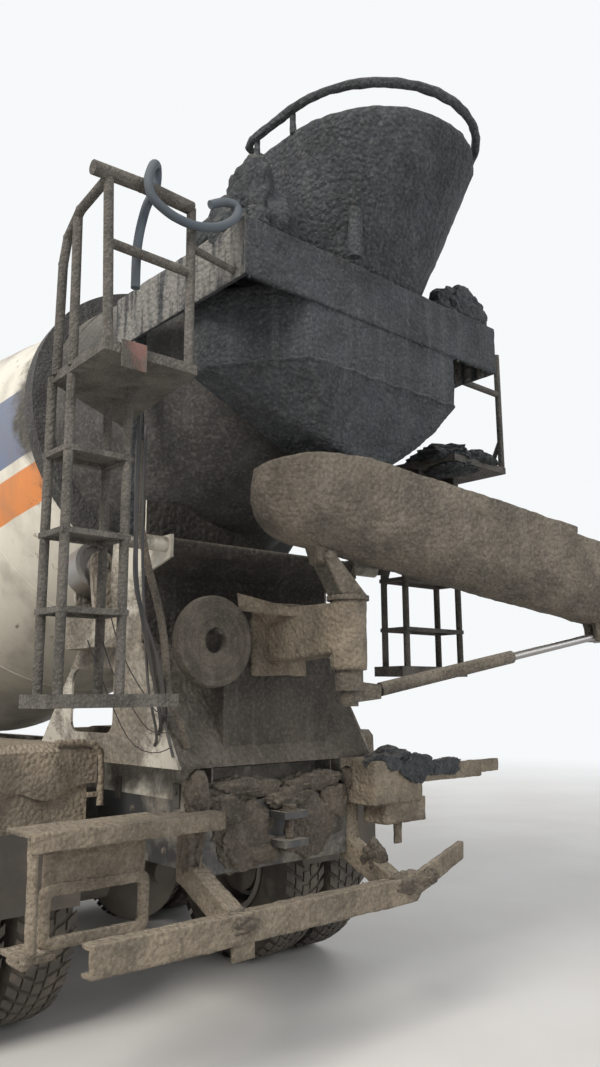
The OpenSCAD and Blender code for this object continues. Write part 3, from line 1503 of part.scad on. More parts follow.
chassis_frame();
subframe();
front_axle();
leaf_springs();
rear_axles();
engine();
driveline();
fuel_tank();
side_equipment();
front_bumper();
cab_steps();
front_pedestal();
drum_gearbox();
rear_pedestal();
rear_fenders();
water_tank();
ladder_left();
ladder_right();
hopper_frame();
charging_hopper();
hopper_ring();
collector();
chute_arm();
lamp_brackets();
underrun_bar();
hose_coil();
feed_hose();
handrail_hose();
knuckle_left();
knuckle_right();
front_tyre_left();
front_tyre_right();
front_rim_left();
front_rim_right();
rear1_tyres_left();
rear1_tyres_right();
rear1_rims_left();
rear1_rims_right();
rear2_tyres_left();
rear2_tyres_right();
rear2_rims_left();
rear2_rims_right();
drum();
drum_track();
roller_left();
roller_right();
chute_swivel();
chute();
strut_barrel();
strut_rod();
cab_shell();
cab_glass();
cab_interior();
door_left();
door_right();
door_glass_left();
door_glass_right();
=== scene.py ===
"""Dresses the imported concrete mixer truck: dried cement, paint, rubber, glass and small fittings."""
import json
import math

import bmesh
import bpy
from mathutils import Matrix, Vector, noise

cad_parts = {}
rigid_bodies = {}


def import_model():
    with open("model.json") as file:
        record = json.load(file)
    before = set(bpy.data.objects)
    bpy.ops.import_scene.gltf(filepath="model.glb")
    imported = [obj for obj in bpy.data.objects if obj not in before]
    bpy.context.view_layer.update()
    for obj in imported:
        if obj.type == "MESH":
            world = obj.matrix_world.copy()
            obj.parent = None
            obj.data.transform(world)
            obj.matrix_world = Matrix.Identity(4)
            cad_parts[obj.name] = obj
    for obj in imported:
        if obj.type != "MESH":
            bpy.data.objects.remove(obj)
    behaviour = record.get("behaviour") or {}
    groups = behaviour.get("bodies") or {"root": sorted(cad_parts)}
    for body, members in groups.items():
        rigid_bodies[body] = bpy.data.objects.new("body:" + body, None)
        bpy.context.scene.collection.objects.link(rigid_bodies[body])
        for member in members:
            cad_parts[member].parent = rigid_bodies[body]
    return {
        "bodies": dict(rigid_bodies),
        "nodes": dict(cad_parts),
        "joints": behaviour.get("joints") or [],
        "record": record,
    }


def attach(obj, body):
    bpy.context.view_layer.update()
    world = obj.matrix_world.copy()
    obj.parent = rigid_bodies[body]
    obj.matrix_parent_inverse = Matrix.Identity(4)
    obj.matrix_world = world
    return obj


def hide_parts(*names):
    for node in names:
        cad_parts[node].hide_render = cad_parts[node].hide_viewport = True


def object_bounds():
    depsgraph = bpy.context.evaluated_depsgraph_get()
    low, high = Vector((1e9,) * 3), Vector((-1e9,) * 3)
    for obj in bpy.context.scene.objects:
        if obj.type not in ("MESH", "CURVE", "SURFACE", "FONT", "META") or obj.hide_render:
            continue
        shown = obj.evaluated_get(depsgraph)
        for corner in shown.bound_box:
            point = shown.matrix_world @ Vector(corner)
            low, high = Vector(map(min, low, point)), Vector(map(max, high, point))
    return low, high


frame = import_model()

bl_info = {
    "name": "Concrete Mixer Truck",
    "version": (1, 0, 0),
    "blender": (4, 5, 0),
    "location": "View3D > Sidebar > Mixer",
    "description": "Dresses the packed mixer truck with cement crust, paint, treads, hoses and lamps",
    "category": "Object",
}

# The part's source measures from the rear face of the underrun bar and from the frame's middle.
MID_X, MID_Y = 3.795, -0.28406
# The drum's slope, the middle of its mouth and its largest radius
DRUM_TILT = math.radians(12)
DRUM_MOUTH = (0.170, 0, 3.150)
DRUM_R = 1.150
CAD_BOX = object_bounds()


def at(x, y, z):
    """A place given as in the part's source, in metres, moved into the row frame."""
    return Vector((x - MID_X, y - MID_Y, z))


# Sizes and colours that a user would change


def colour(name, description, value):
    return bpy.props.FloatVectorProperty(
        name=name, description=description, subtype="COLOR", size=3, min=0, max=1, default=value)


def length(name, description, value):
    return bpy.props.FloatProperty(
        name=name, description=description, subtype="DISTANCE", unit="LENGTH", min=0, default=value)


class MixerColours(bpy.types.PropertyGroup):
    cream: colour("Cream paint", "Paint of the drum, the cab and the pedestals", (0.66, 0.62, 0.53))
    stripe: colour("Orange stripe", "Lower stripe round the drum", (0.62, 0.22, 0.06))
    band: colour("Blue-grey band", "Upper band round the drum", (0.13, 0.16, 0.24))
    dark_cement: colour("Dark cement", "Damp cement on the hopper and collector", (0.052, 0.057, 0.063))
    pale_cement: colour("Pale cement", "Dry cement on the chute and bumper", (0.275, 0.224, 0.162))
    dust: colour("Road dust", "Dust on the running gear", (0.165, 0.138, 0.108))
    chassis: colour("Chassis paint", "Paint of the frame", (0.035, 0.035, 0.036))
    rubber: colour("Rubber", "Tyres, flaps and seals", (0.028, 0.027, 0.026))
    hose: colour("Hose", "Water hoses", (0.055, 0.070, 0.086))


class MixerSizes(bpy.types.PropertyGroup):
    crust: length("Crust thickness", "Greatest thickness of the cement on sheet metal", 0.014)
    crust_cell: length("Crust cell", "Edge length of the crust's mesh", 0.026)
    lug_depth: length("Lug depth", "How far the tread's lugs stand out", 0.012)


def colours():
    return bpy.context.scene.mixer_colours


def sizes():
    return bpy.context.scene.mixer_sizes


# Forms: vertices and faces gathered into one mesh


class Form:
    """Collects plain shapes and joins them into one mesh object."""

    def __init__(self):
        self.verts, self.faces = [], []

    def add(self, verts, faces):
        n = len(self.verts)
        self.verts += [Vector(v) for v in verts]
        self.faces += [[n + i for i in f] for f in faces]

    def box(self, lo, hi, turn=None):
        c = (Vector(lo) + Vector(hi)) / 2
        h = (Vector(hi) - Vector(lo)) / 2
        vs = [Vector((sx * h.x, sy * h.y, sz * h.z)) for sx in (-1, 1) for sy in (-1, 1) for sz in (-1, 1)]
        if turn is not None:
            vs = [turn @ v for v in vs]
        self.add([c + v for v in vs],
                 [(0, 1, 3, 2), (4, 6, 7, 5), (0, 4, 5, 1), (2, 3, 7, 6), (0, 2, 6, 4), (1, 5, 7, 3)])

    def tube(self, points, radius, sides=8, closed=False, wobble=0.0):
        points = [Vector(p) for p in points]
        m = len(points)
        rings = []
        side = None
        for i, p in enumerate(points):
            a = points[(i - 1) % m] if closed else points[max(i - 1, 0)]
            b = points[(i + 1) % m] if closed else points[min(i + 1, m - 1)]
            t = (b - a).normalized()
            if side is None:
                side = t.orthogonal().normalized()
            side = (side - t * side.dot(t)).normalized()
            up = t.cross(side)
            for k in range(sides):
                ang = 2 * math.pi * k / sides
                d = side * math.cos(ang) + up * math.sin(ang)
                r = radius(i / max(m - 1, 1)) if callable(radius) else radius
                if wobble:
                    r += wobble * (noise.noise((p + d * r) * 22) * 0.5 + 0.5)
                rings.append(p + d * r)
        fs = []
        for i in range(m if closed else m - 1):
            j = (i + 1) % m
            fs += [(i * sides + k, i * sides + (k + 1) % sides, j * sides + (k + 1) % sides, j * sides + k)
                   for k in range(sides)]
        if not closed:
            fs += [list(range(sides))[::-1], [(m - 1) * sides + k for k in range(sides)]]
        self.add(rings, fs)

    def lathe(self, profile, origin, axis, sides=32):
        """A closed profile of (radius, along) pairs turned about an axis."""
        axis = Vector(axis).normalized()
        side = axis.orthogonal().normalized()
        up = axis.cross(side)
        n = len(profile)
        vs = []
        for k in range(sides):
            a = 2 * math.pi * k / sides
            d = side * math.cos(a) + up * math.sin(a)
            vs += [Vector(origin) + d * r + axis * h for r, h in profile]
        fs = [(k * n + i, k * n + (i + 1) % n, ((k + 1) % sides) * n + (i + 1) % n,
               ((k + 1) % sides) * n + i)
              for k in range(sides) for i in range(n)]
        self.add(vs, fs)

    def bolt(self, place, axis, radius, height, washer=True):
        """A hexagon head on a washer."""
        axis = Vector(axis).normalized()
        side = axis.orthogonal().normalized()
        up = axis.cross(side)
        base = Vector(place)
        if washer:
            self.lathe([(0.0001, 0), (radius * 1.45, 0), (radius * 1.45, height * 0.2),
                        (0.0001, height * 0.2)], base, axis, 12)
        ring = [side * math.cos(math.pi * k / 3) * radius + up * math.sin(math.pi * k / 3) * radius
                for k in range(6)]
        top = [r * 0.86 for r in ring]
        vs = [base + r for r in ring] + [base + r + axis * height * 0.85 for r in ring]
        vs += [base + r + axis * height for r in top]
        fs = [[5, 4, 3, 2, 1, 0], list(range(12, 18))]
        fs += [(a + k, a + (k + 1) % 6, a + 6 + (k + 1) % 6, a + 6 + k) for a in (0, 6) for k in range(6)]
        self.add(vs, fs)

    def lump(self, centre, size, seed, rough=0.3, detail=3):
        """A knob of set cement: a ball pushed in and out by noise."""
        bm = bmesh.new()
        bmesh.ops.create_icosphere(bm, subdivisions=detail, radius=1)
        c, s = Vector(centre), Vector(size)
        shift = Vector((seed * 3.1, seed * 1.7, seed * 0.9))
        vs = []
        for v in bm.verts:
            k = (1 + rough * noise.fractal(v.co * 1.4 + shift, 0.9, 2.1, 4)
                 + 0.12 * noise.noise(v.co * 6 + shift))
            vs.append(c + Vector((v.co.x * s.x, v.co.y * s.y, v.co.z * s.z)) * k)
        self.add(vs, [[v.index for v in f.verts] for f in bm.faces])
        bm.free()

    def piece(self, name, body, material, slot, smooth=True, bevel=0.0):
        mesh = bpy.data.meshes.new(name)
        mesh.from_pydata([tuple(v) for v in self.verts], [], self.faces)
        mesh.validate()
        bm = bmesh.new()
        bm.from_mesh(mesh)
        bmesh.ops.recalc_face_normals(bm, faces=bm.faces)
        bm.to_mesh(mesh)
        bm.free()
        obj = bpy.data.objects.new(name, mesh)
        bpy.context.scene.collection.objects.link(obj)
        mesh.materials.append(material)
        if bevel:
            mod = obj.modifiers.new("Soft edges", "BEVEL")
            mod.width, mod.segments, mod.limit_method, mod.angle_limit = bevel, 2, "ANGLE", math.radians(40)
        if smooth:
            shade_by_angle(mesh, 40)
        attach(obj, body)
        return obj


def shade_by_angle(mesh, degrees):
    for p in mesh.polygons:
        p.use_smooth = True
    mesh.set_sharp_from_angle(angle=math.radians(degrees))


def clamp_to_box(v, margin=0.0):
    for i in range(3):
        v[i] = min(max(v[i], CAD_BOX[0][i] - margin), CAD_BOX[1][i] + margin)
    return v


def rolling(a, b, n):
    return [a + (b - a) * i / (n - 1) for i in range(n)]


def through(points, m):
    """Points on the smooth curve that the part's source draws through the given ones."""
    p = [Vector(q) for q in points]
    out = []
    for i in range(len(p) - 1):
        p0, p1, p2, p3 = p[max(i - 1, 0)], p[i], p[i + 1], p[min(i + 2, len(p) - 1)]
        for k in range(m):
            t = k / m
            out.append(0.5 * (2 * p1 + (p2 - p0) * t + (2 * p0 - 5 * p1 + 4 * p2 - p3) * t * t
                              + (3 * p1 - p0 - 3 * p2 + p3) * t * t * t))
    return out + [p[-1]]


# Shader building


class Nodes:
    """Short names for building a node tree."""

    def __init__(self, tree):
        self.tree = tree

    def new(self, kind, **sockets):
        n = self.tree.nodes.new(kind)
        for k, v in sockets.items():
            self.put(n, k, v)
        return n

    def put(self, n, key, value):
        key = key.replace("_", " ")
        sock = n.inputs[int(key[1:])] if key[0] == "i" and key[1:].isdigit() else n.inputs[key]
        if isinstance(value, bpy.types.NodeSocket):
            self.tree.links.new(value, sock)
        elif isinstance(value, (tuple, list, Vector)) and len(value) == 3 and sock.type == "RGBA":
            sock.default_value = (*value, 1)
        elif hasattr(value, "__len__") and sock.type == "RGBA":
            sock.default_value = (*value[:3], 1)
        else:
            sock.default_value = value

    def math(self, op, a, b=0.0, clamp=False):
        n = self.new("ShaderNodeMath", i0=a, i1=b)
        n.operation, n.use_clamp = op, clamp
        return n.outputs[0]

    def mix(self, fac, a, b, mode="MIX"):
        n = self.tree.nodes.new("ShaderNodeMix")
        n.data_type, n.blend_type = "RGBA", mode
        self.put(n, "i0", fac)
        self.put(n, "i6", a)
        self.put(n, "i7", b)
        return n.outputs[2]

    def ramp(self, fac, lo, hi, a=0.0, b=1.0):
        n = self.new("ShaderNodeMapRange", i0=fac, i1=lo, i2=hi, i3=a, i4=b)
        n.interpolation_type = "SMOOTHSTEP"
        return n.outputs[0]

    def noise(self, vector, scale, detail=4.0, rough=0.55, distortion=0.0):
        n = self.new("ShaderNodeTexNoise", Vector=vector, Scale=scale, Detail=detail, Roughness=rough,
                     Distortion=distortion)
        return n.outputs[0]

    def voronoi(self, vector, scale, feature="F1"):
        n = self.new("ShaderNodeTexVoronoi", Vector=vector, Scale=scale)
        n.feature = feature
        return n.outputs[0]

    def stretch(self, vector, scale):
        n = self.new("ShaderNodeMapping", Vector=vector)
        n.inputs["Scale"].default_value = scale
        return n.outputs[0]


def make_group(name, inputs, outputs, build):
    """One shared effect: a node group with named sockets."""
    tree = bpy.data.node_groups.new(name, "ShaderNodeTree")
    for label, kind, value in inputs:
        s = tree.interface.new_socket(name=label, in_out="INPUT", socket_type=kind)
        s.default_value = (*value, 1) if kind == "NodeSocketColor" else value
    for label, kind in outputs:
        tree.interface.new_socket(name=label, in_out="OUTPUT", socket_type=kind)
    n = Nodes(tree)
    gi, go = tree.nodes.new("NodeGroupInput"), tree.nodes.new("NodeGroupOutput")
    for label, value in build(n, gi.outputs).items():
        tree.links.new(value, go.inputs[label])
    return tree


COLOR, VALUE = "NodeSocketColor", "NodeSocketFloat"


def cement_group():
    def build(n, g):
        p = n.new("ShaderNodeTexCoord").outputs["Object"]
        up = n.new("ShaderNodeSeparateXYZ", i0=n.new("ShaderNodeNewGeometry").outputs["Normal"]).outputs[2]
        patch = n.noise(p, n.math("MULTIPLY", g["Scale"], 2.6), 7, 0.62, 0.4)
        lean = n.math("MULTIPLY", n.math("MAXIMUM", up, 0.0), 0.16)
        edge = n.math("SUBTRACT", 1.0, g["Cover"])
        mask = n.ramp(n.math("ADD", patch, lean), n.math("SUBTRACT", edge, 0.10), n.math("ADD", edge, 0.06))
        grit = n.noise(p, n.math("MULTIPLY", g["Scale"], 60.0), 5, 0.7)
        knobs = n.math("SUBTRACT", 1.0, n.voronoi(p, n.math("MULTIPLY", g["Scale"], 46.0)))
        shade = n.noise(p, n.math("MULTIPLY", g["Scale"], 5.0), 6, 0.65)
        streak = n.noise(n.stretch(p, (9.0, 9.0, 0.7)), 2.0, 5, 0.6)
        light = n.mix(n.ramp(shade, 0.32, 0.68), n.mix(0.55, g["Cement"], (0.0, 0.0, 0.0)), g["Cement"])
        light = n.mix(n.math("MULTIPLY", n.ramp(grit, 0.55, 0.75), 0.35), light,
                      n.mix(0.14, g["Cement"], (1.0, 0.96, 0.9)))
        light = n.mix(n.math("MULTIPLY", n.ramp(streak, 0.5, 0.72), 0.22), light,
                      n.mix(0.16, g["Cement"], (0.8, 0.78, 0.74)))
        pits = n.ramp(n.noise(p, n.math("MULTIPLY", g["Scale"], 24.0), 3, 0.6), 0.36, 0.30)
        light = n.mix(n.math("MULTIPLY", pits, 0.5), light, n.mix(0.6, g["Cement"], (0.0, 0.0, 0.0)))
        # Painted light: up-facing tops painted paler and warmer as if lit from above, and painted glints on
        # grains that catch the light
        up = n.new("ShaderNodeSeparateXYZ", i0=n.new("ShaderNodeNewGeometry").outputs["Normal"]).outputs[2]
        light = n.mix(n.math("MULTIPLY", n.ramp(up, 0.25, 0.95), 0.42), light,
                      n.mix(0.26, g["Cement"], (0.80, 0.70, 0.55)))
        grains = n.noise(p, n.math("MULTIPLY", g["Scale"], 78.0), 3, 0.6)
        light = n.mix(n.math("MULTIPLY", n.ramp(grains, 0.50, 0.70), 0.34), light,
                      n.mix(0.13, g["Cement"], (0.9, 0.82, 0.7)))
        light = n.mix(n.math("MULTIPLY", n.ramp(grains, 0.50, 0.32), 0.50), light,
                      n.mix(0.55, g["Cement"], (0.0, 0.0, 0.0)))
        height = n.math("ADD", n.math("MULTIPLY", grit, 0.6), n.math("MULTIPLY", knobs, 0.75))
        height = n.math("ADD", height, n.math("MULTIPLY", grains, 0.45))
        height = n.math("ADD", n.math("MULTIPLY", height, mask), n.math("MULTIPLY", mask, 0.6))
        return {"Color": n.mix(mask, g["Paint"], light), "Mask": mask, "Height": height,
                "Rough": n.math("ADD", n.math("MULTIPLY", mask, 0.4), 0.5)}

    return make_group("Dried cement", [
        ("Paint", COLOR, (0.6, 0.6, 0.55)), ("Cement", COLOR, (0.3, 0.28, 0.24)), ("Cover", VALUE, 0.5),
        ("Scale", VALUE, 1.0)], [("Color", COLOR), ("Mask", VALUE), ("Height", VALUE), ("Rough", VALUE)],
        build)


def dust_group():
    def build(n, g):
        p = n.new("ShaderNodeTexCoord").outputs["Object"]
        up = n.new("ShaderNodeSeparateXYZ", i0=n.new("ShaderNodeNewGeometry").outputs["Normal"]).outputs[2]
        z = n.new("ShaderNodeSeparateXYZ", i0=p).outputs[2]
        cloud = n.noise(p, 3.5, 6, 0.6)
        fine = n.noise(p, 45.0, 3, 0.6)
        low = n.ramp(z, 2.2, 0.2, 0.0, 0.35)
        fac = n.math("ADD", n.math("MULTIPLY", n.ramp(up, 0.1, 0.9), 0.45), low)
        fac = n.math("ADD", fac, n.math("MULTIPLY", n.ramp(cloud, 0.38, 0.7), 0.5))
        fac = n.math("ADD", fac, n.math("MULTIPLY", n.ramp(fine, 0.5, 0.8), 0.12))
        fac = n.math("MULTIPLY", fac, g["Amount"], clamp=True)
        return {"Color": n.mix(fac, g["Base"], g["Dust"]), "Mask": fac}

    return make_group("Road dust", [
        ("Base", COLOR, (0.1, 0.1, 0.1)), ("Dust", COLOR, (0.3, 0.26, 0.2)), ("Amount", VALUE, 0.6)],
        [("Color", COLOR), ("Mask", VALUE)], build)


def wear_group():
    def build(n, g):
        p = n.new("ShaderNodeTexCoord").outputs["Object"]
        chips = n.noise(p, 16.0, 8, 0.72)
        big = n.noise(p, 1.7, 4, 0.6)
        mask = n.math("MULTIPLY", n.ramp(chips, 0.60, 0.64), n.ramp(big, 0.40, 0.62))
        mask = n.math("MULTIPLY", mask, g["Amount"], clamp=True)
        tint = n.mix(n.ramp(n.noise(p, 90.0, 3), 0.3, 0.7), g["Metal"],
                     n.mix(0.5, g["Metal"], (0.02, 0.012, 0.008)))
        return {"Color": n.mix(mask, g["Paint"], tint), "Mask": mask}

    return make_group("Chipped paint", [
        ("Paint", COLOR, (0.6, 0.6, 0.55)), ("Metal", COLOR, (0.16, 0.07, 0.035)), ("Amount", VALUE, 1.0)],
        [("Color", COLOR), ("Mask", VALUE)], build)


GROUPS = {}
MATERIALS = {}


def group(name):
    if name not in GROUPS:
        GROUPS[name] = {"Dried cement": cement_group, "Road dust": dust_group,
                        "Chipped paint": wear_group}[name]()
    return GROUPS[name]


def use_group(n, name, **values):
    g = n.tree.nodes.new("ShaderNodeGroup")
    g.node_tree = group(name)
    for k, v in values.items():
        n.put(g, k, v)
    return g.outputs


def new_material(name, rough=0.6, metallic=0.0):
    mat = bpy.data.materials.new(name)
    mat.use_nodes = True
    n = Nodes(mat.node_tree)
    shader = mat.node_tree.nodes["Principled BSDF"]
    shader.inputs["Roughness"].default_value = rough
    shader.inputs["Metallic"].default_value = metallic
    MATERIALS[name] = mat
    return mat, n, shader


def bump(n, shader, height, distance, strength=1.0):
    b = n.new("ShaderNodeBump", Height=height, Strength=strength, Distance=distance)
    n.put(shader, "Normal", b.outputs[0])


def cement_on(name, paint, cement, cover, scale=1.0, depth=0.006, chips=0.6, pale_sides=None, inner=None,
              dust=0.0):
    """Painted sheet metal under dried cement; inner is a darker colour between the side plates, darkest at
    the top and paler lower down, where the cement is drawn thicker.
    """
    mat, n, shader = new_material(name)
    base = use_group(n, "Chipped paint", Paint=paint, Amount=chips)["Color"]
    if dust:
        base = use_group(n, "Road dust", Base=base, Dust=colours().dust, Amount=dust)["Color"]
    if inner:
        spot = n.new("ShaderNodeTexCoord").outputs["Object"]
        part = n.new("ShaderNodeSeparateXYZ", i0=spot).outputs
        off = n.math("ABSOLUTE", n.math("SUBTRACT", part[1], at(0, 0, 0).y))
        inside = n.math("MULTIPLY", n.ramp(off, 0.5595, 0.5585),
                        n.ramp(part[0], at(0.80, 0, 0).x, at(0.76, 0, 0).x))
        low = n.ramp(part[2], 1.75, 1.25)
        cement = n.mix(inside, cement, n.mix(n.math("MULTIPLY", low, 0.5), inner, (0.12, 0.10, 0.078)))
        cover = n.math("ADD", n.math("MULTIPLY", inside, 0.6), cover)
    c = use_group(n, "Dried cement", Paint=base, Cement=cement, Cover=cover, Scale=scale)
    col = c["Color"]
    if pale_sides:
        side = n.new("ShaderNodeSeparateXYZ",
                     i0=n.new("ShaderNodeNewGeometry").outputs["Normal"]).outputs[1]
        p = n.new("ShaderNodeTexCoord").outputs["Object"]
        drips = n.noise(n.stretch(p, (7.0, 7.0, 0.8)), 2.4, 6, 0.6)
        fac = n.math("MULTIPLY", n.ramp(n.math("ABSOLUTE", side), 0.55, 0.85), n.ramp(drips, 0.36, 0.56))
        col = n.mix(fac, col, pale_sides)
    n.put(shader, "Base Color", col)
    n.put(shader, "Roughness", c["Rough"])
    bump(n, shader, c["Height"], depth)
    return mat


def dusty(name, base, amount, rough=0.55, metallic=0.0, grain=0.0008, dust=None):
    """A plain finish with dust that gathers on top and low down."""
    mat, n, shader = new_material(name, rough, metallic)
    d = use_group(n, "Road dust", Base=base, Dust=dust or colours().dust, Amount=amount)
    n.put(shader, "Base Color", d["Color"])
    n.put(shader, "Roughness", n.ramp(d["Mask"], 0.0, 0.8, rough, 0.92))
    p = n.new("ShaderNodeTexCoord").outputs["Object"]
    bump(n, shader, n.noise(p, 120.0, 4, 0.6), grain)
    return mat


def drum_paint():
    """Cream shell with a blue-grey band and an orange stripe, and cement towards the mouth."""
    c = colours()
    mat, n, shader = new_material("drum_paint", 0.4)
    p = n.new("ShaderNodeTexCoord").outputs["Object"]
    xyz = n.new("ShaderNodeSeparateXYZ", i0=p)
    # Distance along the drum's axis from its mouth, and height over the axis
    a = DRUM_TILT
    m = at(*DRUM_MOUTH)
    along = n.math("ADD", n.math("MULTIPLY", n.math("SUBTRACT", xyz.outputs[0], m.x), math.cos(a)),
                   n.math("MULTIPLY", n.math("SUBTRACT", xyz.outputs[2], m.z), -math.sin(a)))
    over = n.math("ADD", n.math("MULTIPLY", n.math("SUBTRACT", xyz.outputs[0], m.x), math.sin(a)),
                  n.math("MULTIPLY", n.math("SUBTRACT", xyz.outputs[2], m.z), math.cos(a)))
    wob = n.math("MULTIPLY", n.math("SUBTRACT", n.noise(p, 2.0, 3), 0.5), 0.03)
    h = n.math("ADD", over, wob)
    edge = n.math("ADD", h, n.math("MULTIPLY", along, 0.10))
    stripe = n.math("MULTIPLY", n.ramp(edge, -0.30, -0.296), n.ramp(edge, -0.116, -0.12))
    band = n.math("MULTIPLY", n.ramp(edge, -0.06, -0.056), n.ramp(edge, 0.334, 0.33))
    paint = n.mix(stripe, c.cream, c.stripe)
    paint = n.mix(band, paint, c.band)
    worn = use_group(n, "Chipped paint", Paint=paint, Amount=0.7)["Color"]
    grime = n.noise(n.stretch(p, (1.0, 1.0, 0.35)), 3.0, 6, 0.62)
    worn = n.mix(n.math("MULTIPLY", n.ramp(grime, 0.40, 0.72), 0.58), worn, c.dust)
    crust = n.ramp(n.math("ADD", along, n.math("MULTIPLY", n.noise(p, 1.6, 4), 0.5)), 1.82, 0.95)
    cover = n.math("ADD", n.math("MULTIPLY", crust, 0.78), 0.14)
    # The cement darkens towards the mouth: painted shade on the rear cone, which lies in shadow
    cem = use_group(n, "Dried cement", Paint=worn,
                    Cement=n.mix(n.ramp(along, 0.8, 1.9), (0.062, 0.058, 0.054), (0.17, 0.148, 0.118)),
                    Cover=cover, Scale=0.8)
    n.put(shader, "Base Color", cem["Color"])
    n.put(shader, "Roughness", n.math("ADD", n.math("MULTIPLY", cem["Mask"], 0.4), 0.42))
    bump(n, shader, cem["Height"], 0.004)
    return mat


def tyre_rubber():
    c = colours()
    mat, n, shader = new_material("tyre_rubber", 0.85)
    p = n.new("ShaderNodeTexCoord").outputs["Object"]
    d = use_group(n, "Road dust", Base=c.rubber, Dust=c.dust, Amount=0.75)
    mud = n.ramp(n.noise(p, 7.0, 6, 0.65), 0.5, 0.62)
    n.put(shader, "Base Color",
          n.mix(n.math("MULTIPLY", mud, 0.55), d["Color"], n.mix(0.3, c.dust, (0.05, 0.04, 0.03))))
    bump(n, shader, n.noise(p, 40.0, 5, 0.7), 0.0015)
    return mat


def glass_material(name, tint, alpha=0.28):
    mat, n, shader = new_material(name, 0.05)
    p = n.new("ShaderNodeTexCoord").outputs["Object"]
    d = use_group(n, "Road dust", Base=tint, Dust=colours().dust, Amount=0.3)
    n.put(shader, "Base Color", d["Color"])
    n.put(shader, "Roughness", n.ramp(n.noise(p, 5.0, 5), 0.3, 0.7, 0.04, 0.2))
    n.put(shader, "Alpha", n.ramp(d["Mask"], 0.0, 0.4, alpha, 0.6))
    mat.surface_render_method = "BLENDED"
    return mat


def lens_material(name, tint):
    mat, n, shader = new_material(name, 0.18)
    p = n.new("ShaderNodeTexCoord").outputs["Object"]
    ribs = n.voronoi(p, 70.0)
    d = use_group(n, "Road dust", Base=tint, Dust=colours().dust, Amount=0.45)
    n.put(shader, "Base Color", d["Color"])
    n.put(shader, "Roughness", n.ramp(d["Mask"], 0.0, 0.8, 0.15, 0.8))
    bump(n, shader, ribs, 0.002)
    shader.inputs["Coat Weight"].default_value = 0.5
    return mat


def build_materials():
    c = colours()
    cement_on("dark_cement", (0.10, 0.105, 0.11), c.dark_cement, 0.92, 1.0, 0.024)
    cement_on("band_cement", (0.13, 0.14, 0.15), c.dark_cement, 0.92, 1.0, 0.024,
              pale_sides=(0.22, 0.21, 0.19))
    cement_on("pedestal_sides", (0.47, 0.435, 0.365), (0.20, 0.172, 0.135), 0.52, 0.8, 0.012,
              inner=(0.050, 0.043, 0.036))
    cement_on("hose_crust", (0.12, 0.125, 0.125), (0.135, 0.113, 0.088), 0.88, 1.6, 0.010)
    cement_on("track_crust", (0.15, 0.14, 0.13), (0.055, 0.052, 0.050), 0.80, 1.2, 0.006)
    cement_on("rear_cement", c.pale_cement, (0.140, 0.114, 0.085), 0.95, 0.9, 0.022)
    cement_on("pale_cement", (0.25, 0.21, 0.16), c.pale_cement, 0.90, 1.0, 0.020)
    cement_on("chute_cement", (0.19, 0.17, 0.14), (0.178, 0.150, 0.115), 0.92, 1.0, 0.022)
    cement_on("pedestal_paint", c.cream, (0.24, 0.215, 0.18), 0.52, 0.8, 0.007)
    cement_on("ladder_paint", (0.13, 0.115, 0.10), (0.115, 0.103, 0.088), 0.78, 1.6, 0.009)
    cement_on("cab_paint", c.cream, c.dust, 0.20, 0.6, 0.001, 0.35, dust=0.50)
    cement_on("frame_paint", c.chassis, (0.20, 0.18, 0.15), 0.44, 1.0, 0.004)
    dusty("running_gear", (0.05, 0.048, 0.045), 0.95, 0.7)
    dusty("engine_iron", (0.04, 0.04, 0.042), 0.7, 0.7)
    dusty("gearbox_iron", (0.16, 0.17, 0.18), 0.6, 0.5)
    dusty("tank_metal", (0.45, 0.46, 0.47), 0.5, 0.35, 0.85)
    dusty("rim_paint", (0.22, 0.21, 0.20), 0.8, 0.6)
    dusty("worn_steel", (0.33, 0.32, 0.31), 0.35, 0.32, 0.9)
    dusty("hose_rubber", c.hose, 0.5, 0.75, dust=(0.125, 0.122, 0.115))
    dusty("black_plastic", (0.03, 0.03, 0.032), 0.45, 0.5)
    dusty("cab_trim", (0.06, 0.06, 0.065), 0.25, 0.75)
    dusty("flap_rubber", c.rubber, 0.8, 0.85)
    drum_paint()
    tyre_rubber()
    glass_material("window_glass", (0.55, 0.62, 0.62))
    cement_on("reflector", (0.145, 0.058, 0.042), (0.10, 0.088, 0.074), 0.58, 2.2, 0.003)
    cement_on("orange_paint", c.stripe, (0.20, 0.172, 0.135), 0.34, 1.6, 0.002)
    lens_material("amber_lens", (0.6, 0.22, 0.02))
    lens_material("clear_lens", (0.65, 0.67, 0.68))
    dusty("mirror_face", (0.6, 0.62, 0.63), 0.1, 0.06, 1.0)


NODE_FINISH = {
    "cream_paint": "pedestal_paint", "crusted_paint": "pale_cement", "dark_crust": "dark_cement",
    "frame_steel": "frame_paint", "axle_iron": "running_gear", "engine_iron": "engine_iron",
    "gearbox_iron": "gearbox_iron", "spring_steel": "running_gear", "tank_aluminium": "tank_metal",
    "ladder_steel": "ladder_paint", "hose": "hose_rubber", "tyre": "tyre_rubber", "rim_steel": "rim_paint",
    "roller_steel": "worn_steel", "rod_steel": "worn_steel", "window_glass": "window_glass",
    "cab_trim": "cab_trim",
}
NODE_OWN = {
    "drum": "drum_paint", "drum_track": "track_crust", "cab_shell": "cab_paint",
    "rear_pedestal": "pedestal_sides",
    "hose_coil": "hose_crust", "cab_steps": "frame_paint", "door_left": "cab_paint",
    "door_right": "cab_paint",
    "chute": "chute_cement", "chute_swivel": "chute_cement", "strut_barrel": "chute_cement",
    "front_bumper": "cab_paint", "water_tank": "cab_paint", "front_pedestal": "pedestal_paint",
}


